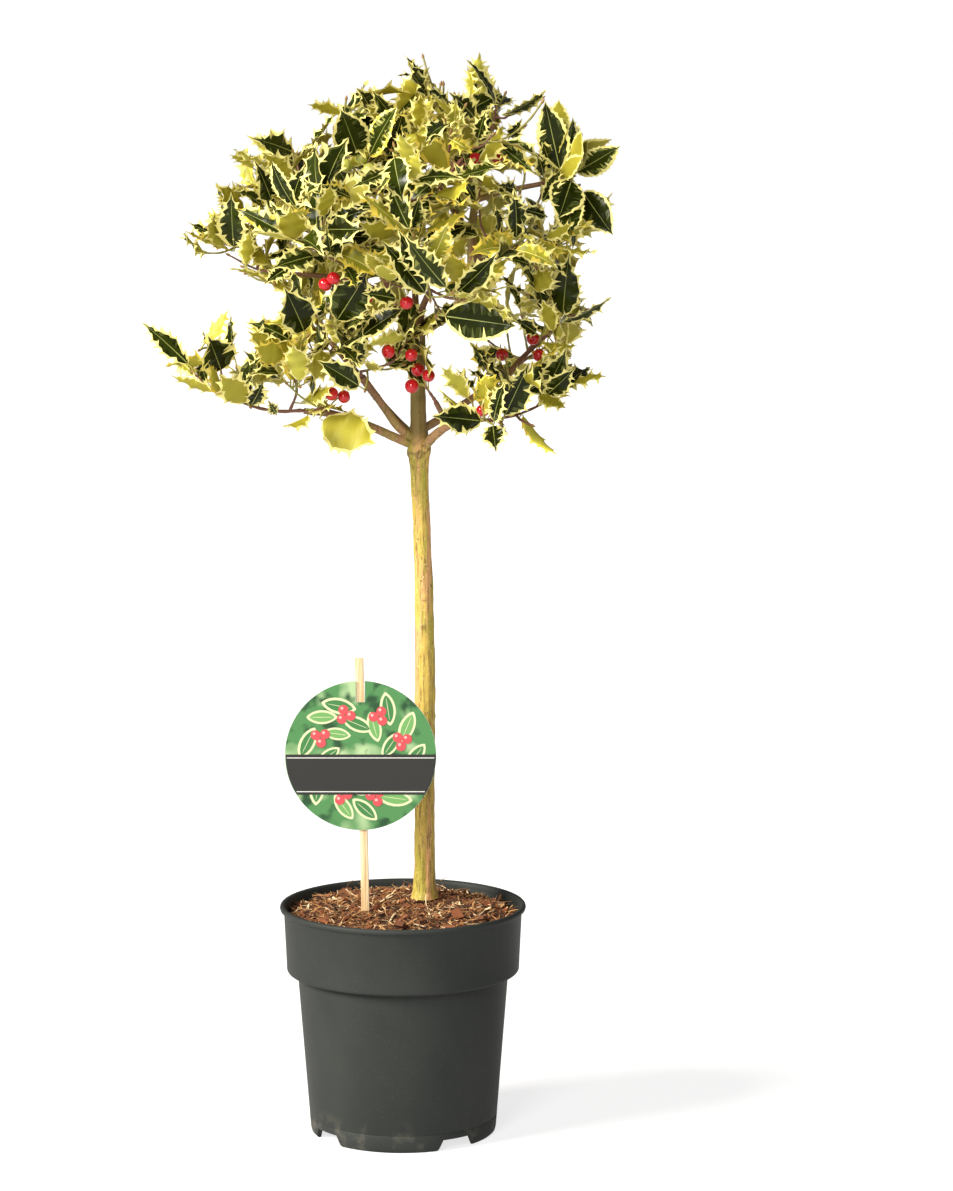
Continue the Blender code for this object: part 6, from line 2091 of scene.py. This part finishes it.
@dataclass
class Studio:
    """The camera at the photograph's angle, a pale floor and soft light."""

    sight: Sight = Sight()
    sensor: float = 36.0
    floor_size: float = 60.0
    surroundings: float = 0.22
    reflected: float = 0.12
    aim: Place = (0.0, 0.0, 0.55)
    near: float = 0.05
    sun: float = 5.3
    sun_place: Place = (-3.2, -1.7, 2.7)
    sun_spread: float = math.radians(22.0)
    sun_colour: Colour = (1.0, 0.95, 0.86)
    key: float = 44.0
    key_place: Place = (-0.8, -2.8, 1.7)
    key_size: float = 0.9
    fill: float = 0.5
    fill_place: Place = (2.0, -1.8, 1.6)
    fill_size: float = 1.0

    def camera(self) -> None:
        """Sets up the camera."""
        lens = bpy.data.cameras.new("camera")
        lens.sensor_width = self.sensor
        lens.lens = self.sight.focal / self.sight.height * self.sensor
        lens.clip_start = self.near
        made = bpy.data.objects.new("camera", lens)
        made.location = self.sight.camera
        made.rotation_euler = (math.radians(90.0) - self.sight.pitch, 0.0, 0.0)
        bpy.context.scene.collection.objects.link(made)
        bpy.context.scene.camera = made

    def lamp(self, name: str, kind: str, place: Place, power: float) -> bpy.types.Light:
        """A lamp that faces the middle of the tree."""
        lamp = bpy.data.lights.new(name, kind)
        lamp.energy = power
        made = bpy.data.objects.new(name, lamp)
        made.location = place
        made.rotation_euler = (Vector(place) - Vector(self.aim)).to_track_quat("Z", "Y").to_euler()
        bpy.context.scene.collection.objects.link(made)
        return lamp

    def world(self) -> None:
        """Surroundings that are white to the camera and softer as light."""
        world = bpy.data.worlds.new("studio")
        world.use_nodes = True
        nodes, links = world.node_tree.nodes, world.node_tree.links
        rays = nodes.new("ShaderNodeLightPath")
        strength = None
        for label, value in (("Is Glossy Ray", self.reflected), ("Is Camera Ray", 1.0)):
            ramp = nodes.new("ShaderNodeMapRange")
            ramp.inputs["To Min"].default_value = self.surroundings
            ramp.inputs["To Max"].default_value = value
            links.new(rays.outputs[label], ramp.inputs["Value"])
            if strength is not None:
                links.new(strength, ramp.inputs["To Min"])
            strength = ramp.outputs["Result"]
        links.new(strength, nodes["Background"].inputs["Strength"])
        nodes["Background"].inputs["Color"].default_value = (1.0, 1.0, 1.0, 1.0)
        bpy.context.scene.world = world

    def build(self) -> None:
        """Sets up camera, floor, lights and the white surroundings."""
        self.camera()
        shape = bmesh.new()
        bmesh.ops.create_grid(shape, x_segments=1, y_segments=1, size=self.floor_size / 2)
        object_from("floor", shape, [FloorFinish().build()])
        sun = self.lamp("sun", "SUN", self.sun_place, self.sun)
        sun.angle = self.sun_spread
        sun.color = self.sun_colour
        self.lamp("key", "AREA", self.key_place, self.key).size = self.key_size
        self.lamp("fill", "AREA", self.fill_place, self.fill).size = self.fill_size
        self.world()
        bpy.context.scene.view_settings.view_transform = "Standard"


def main() -> None:
    """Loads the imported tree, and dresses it."""
    logging.basicConfig(level=logging.INFO, format="%(message)s")
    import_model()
    Studio().build()
    pot = Pot()
    pot.build()
    Compost(pot).build()
    Tag().build()
    limbs = Limbs()
    limbs.build()
    Crown().build(limbs)
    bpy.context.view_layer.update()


if __name__ == "__main__":
    main()
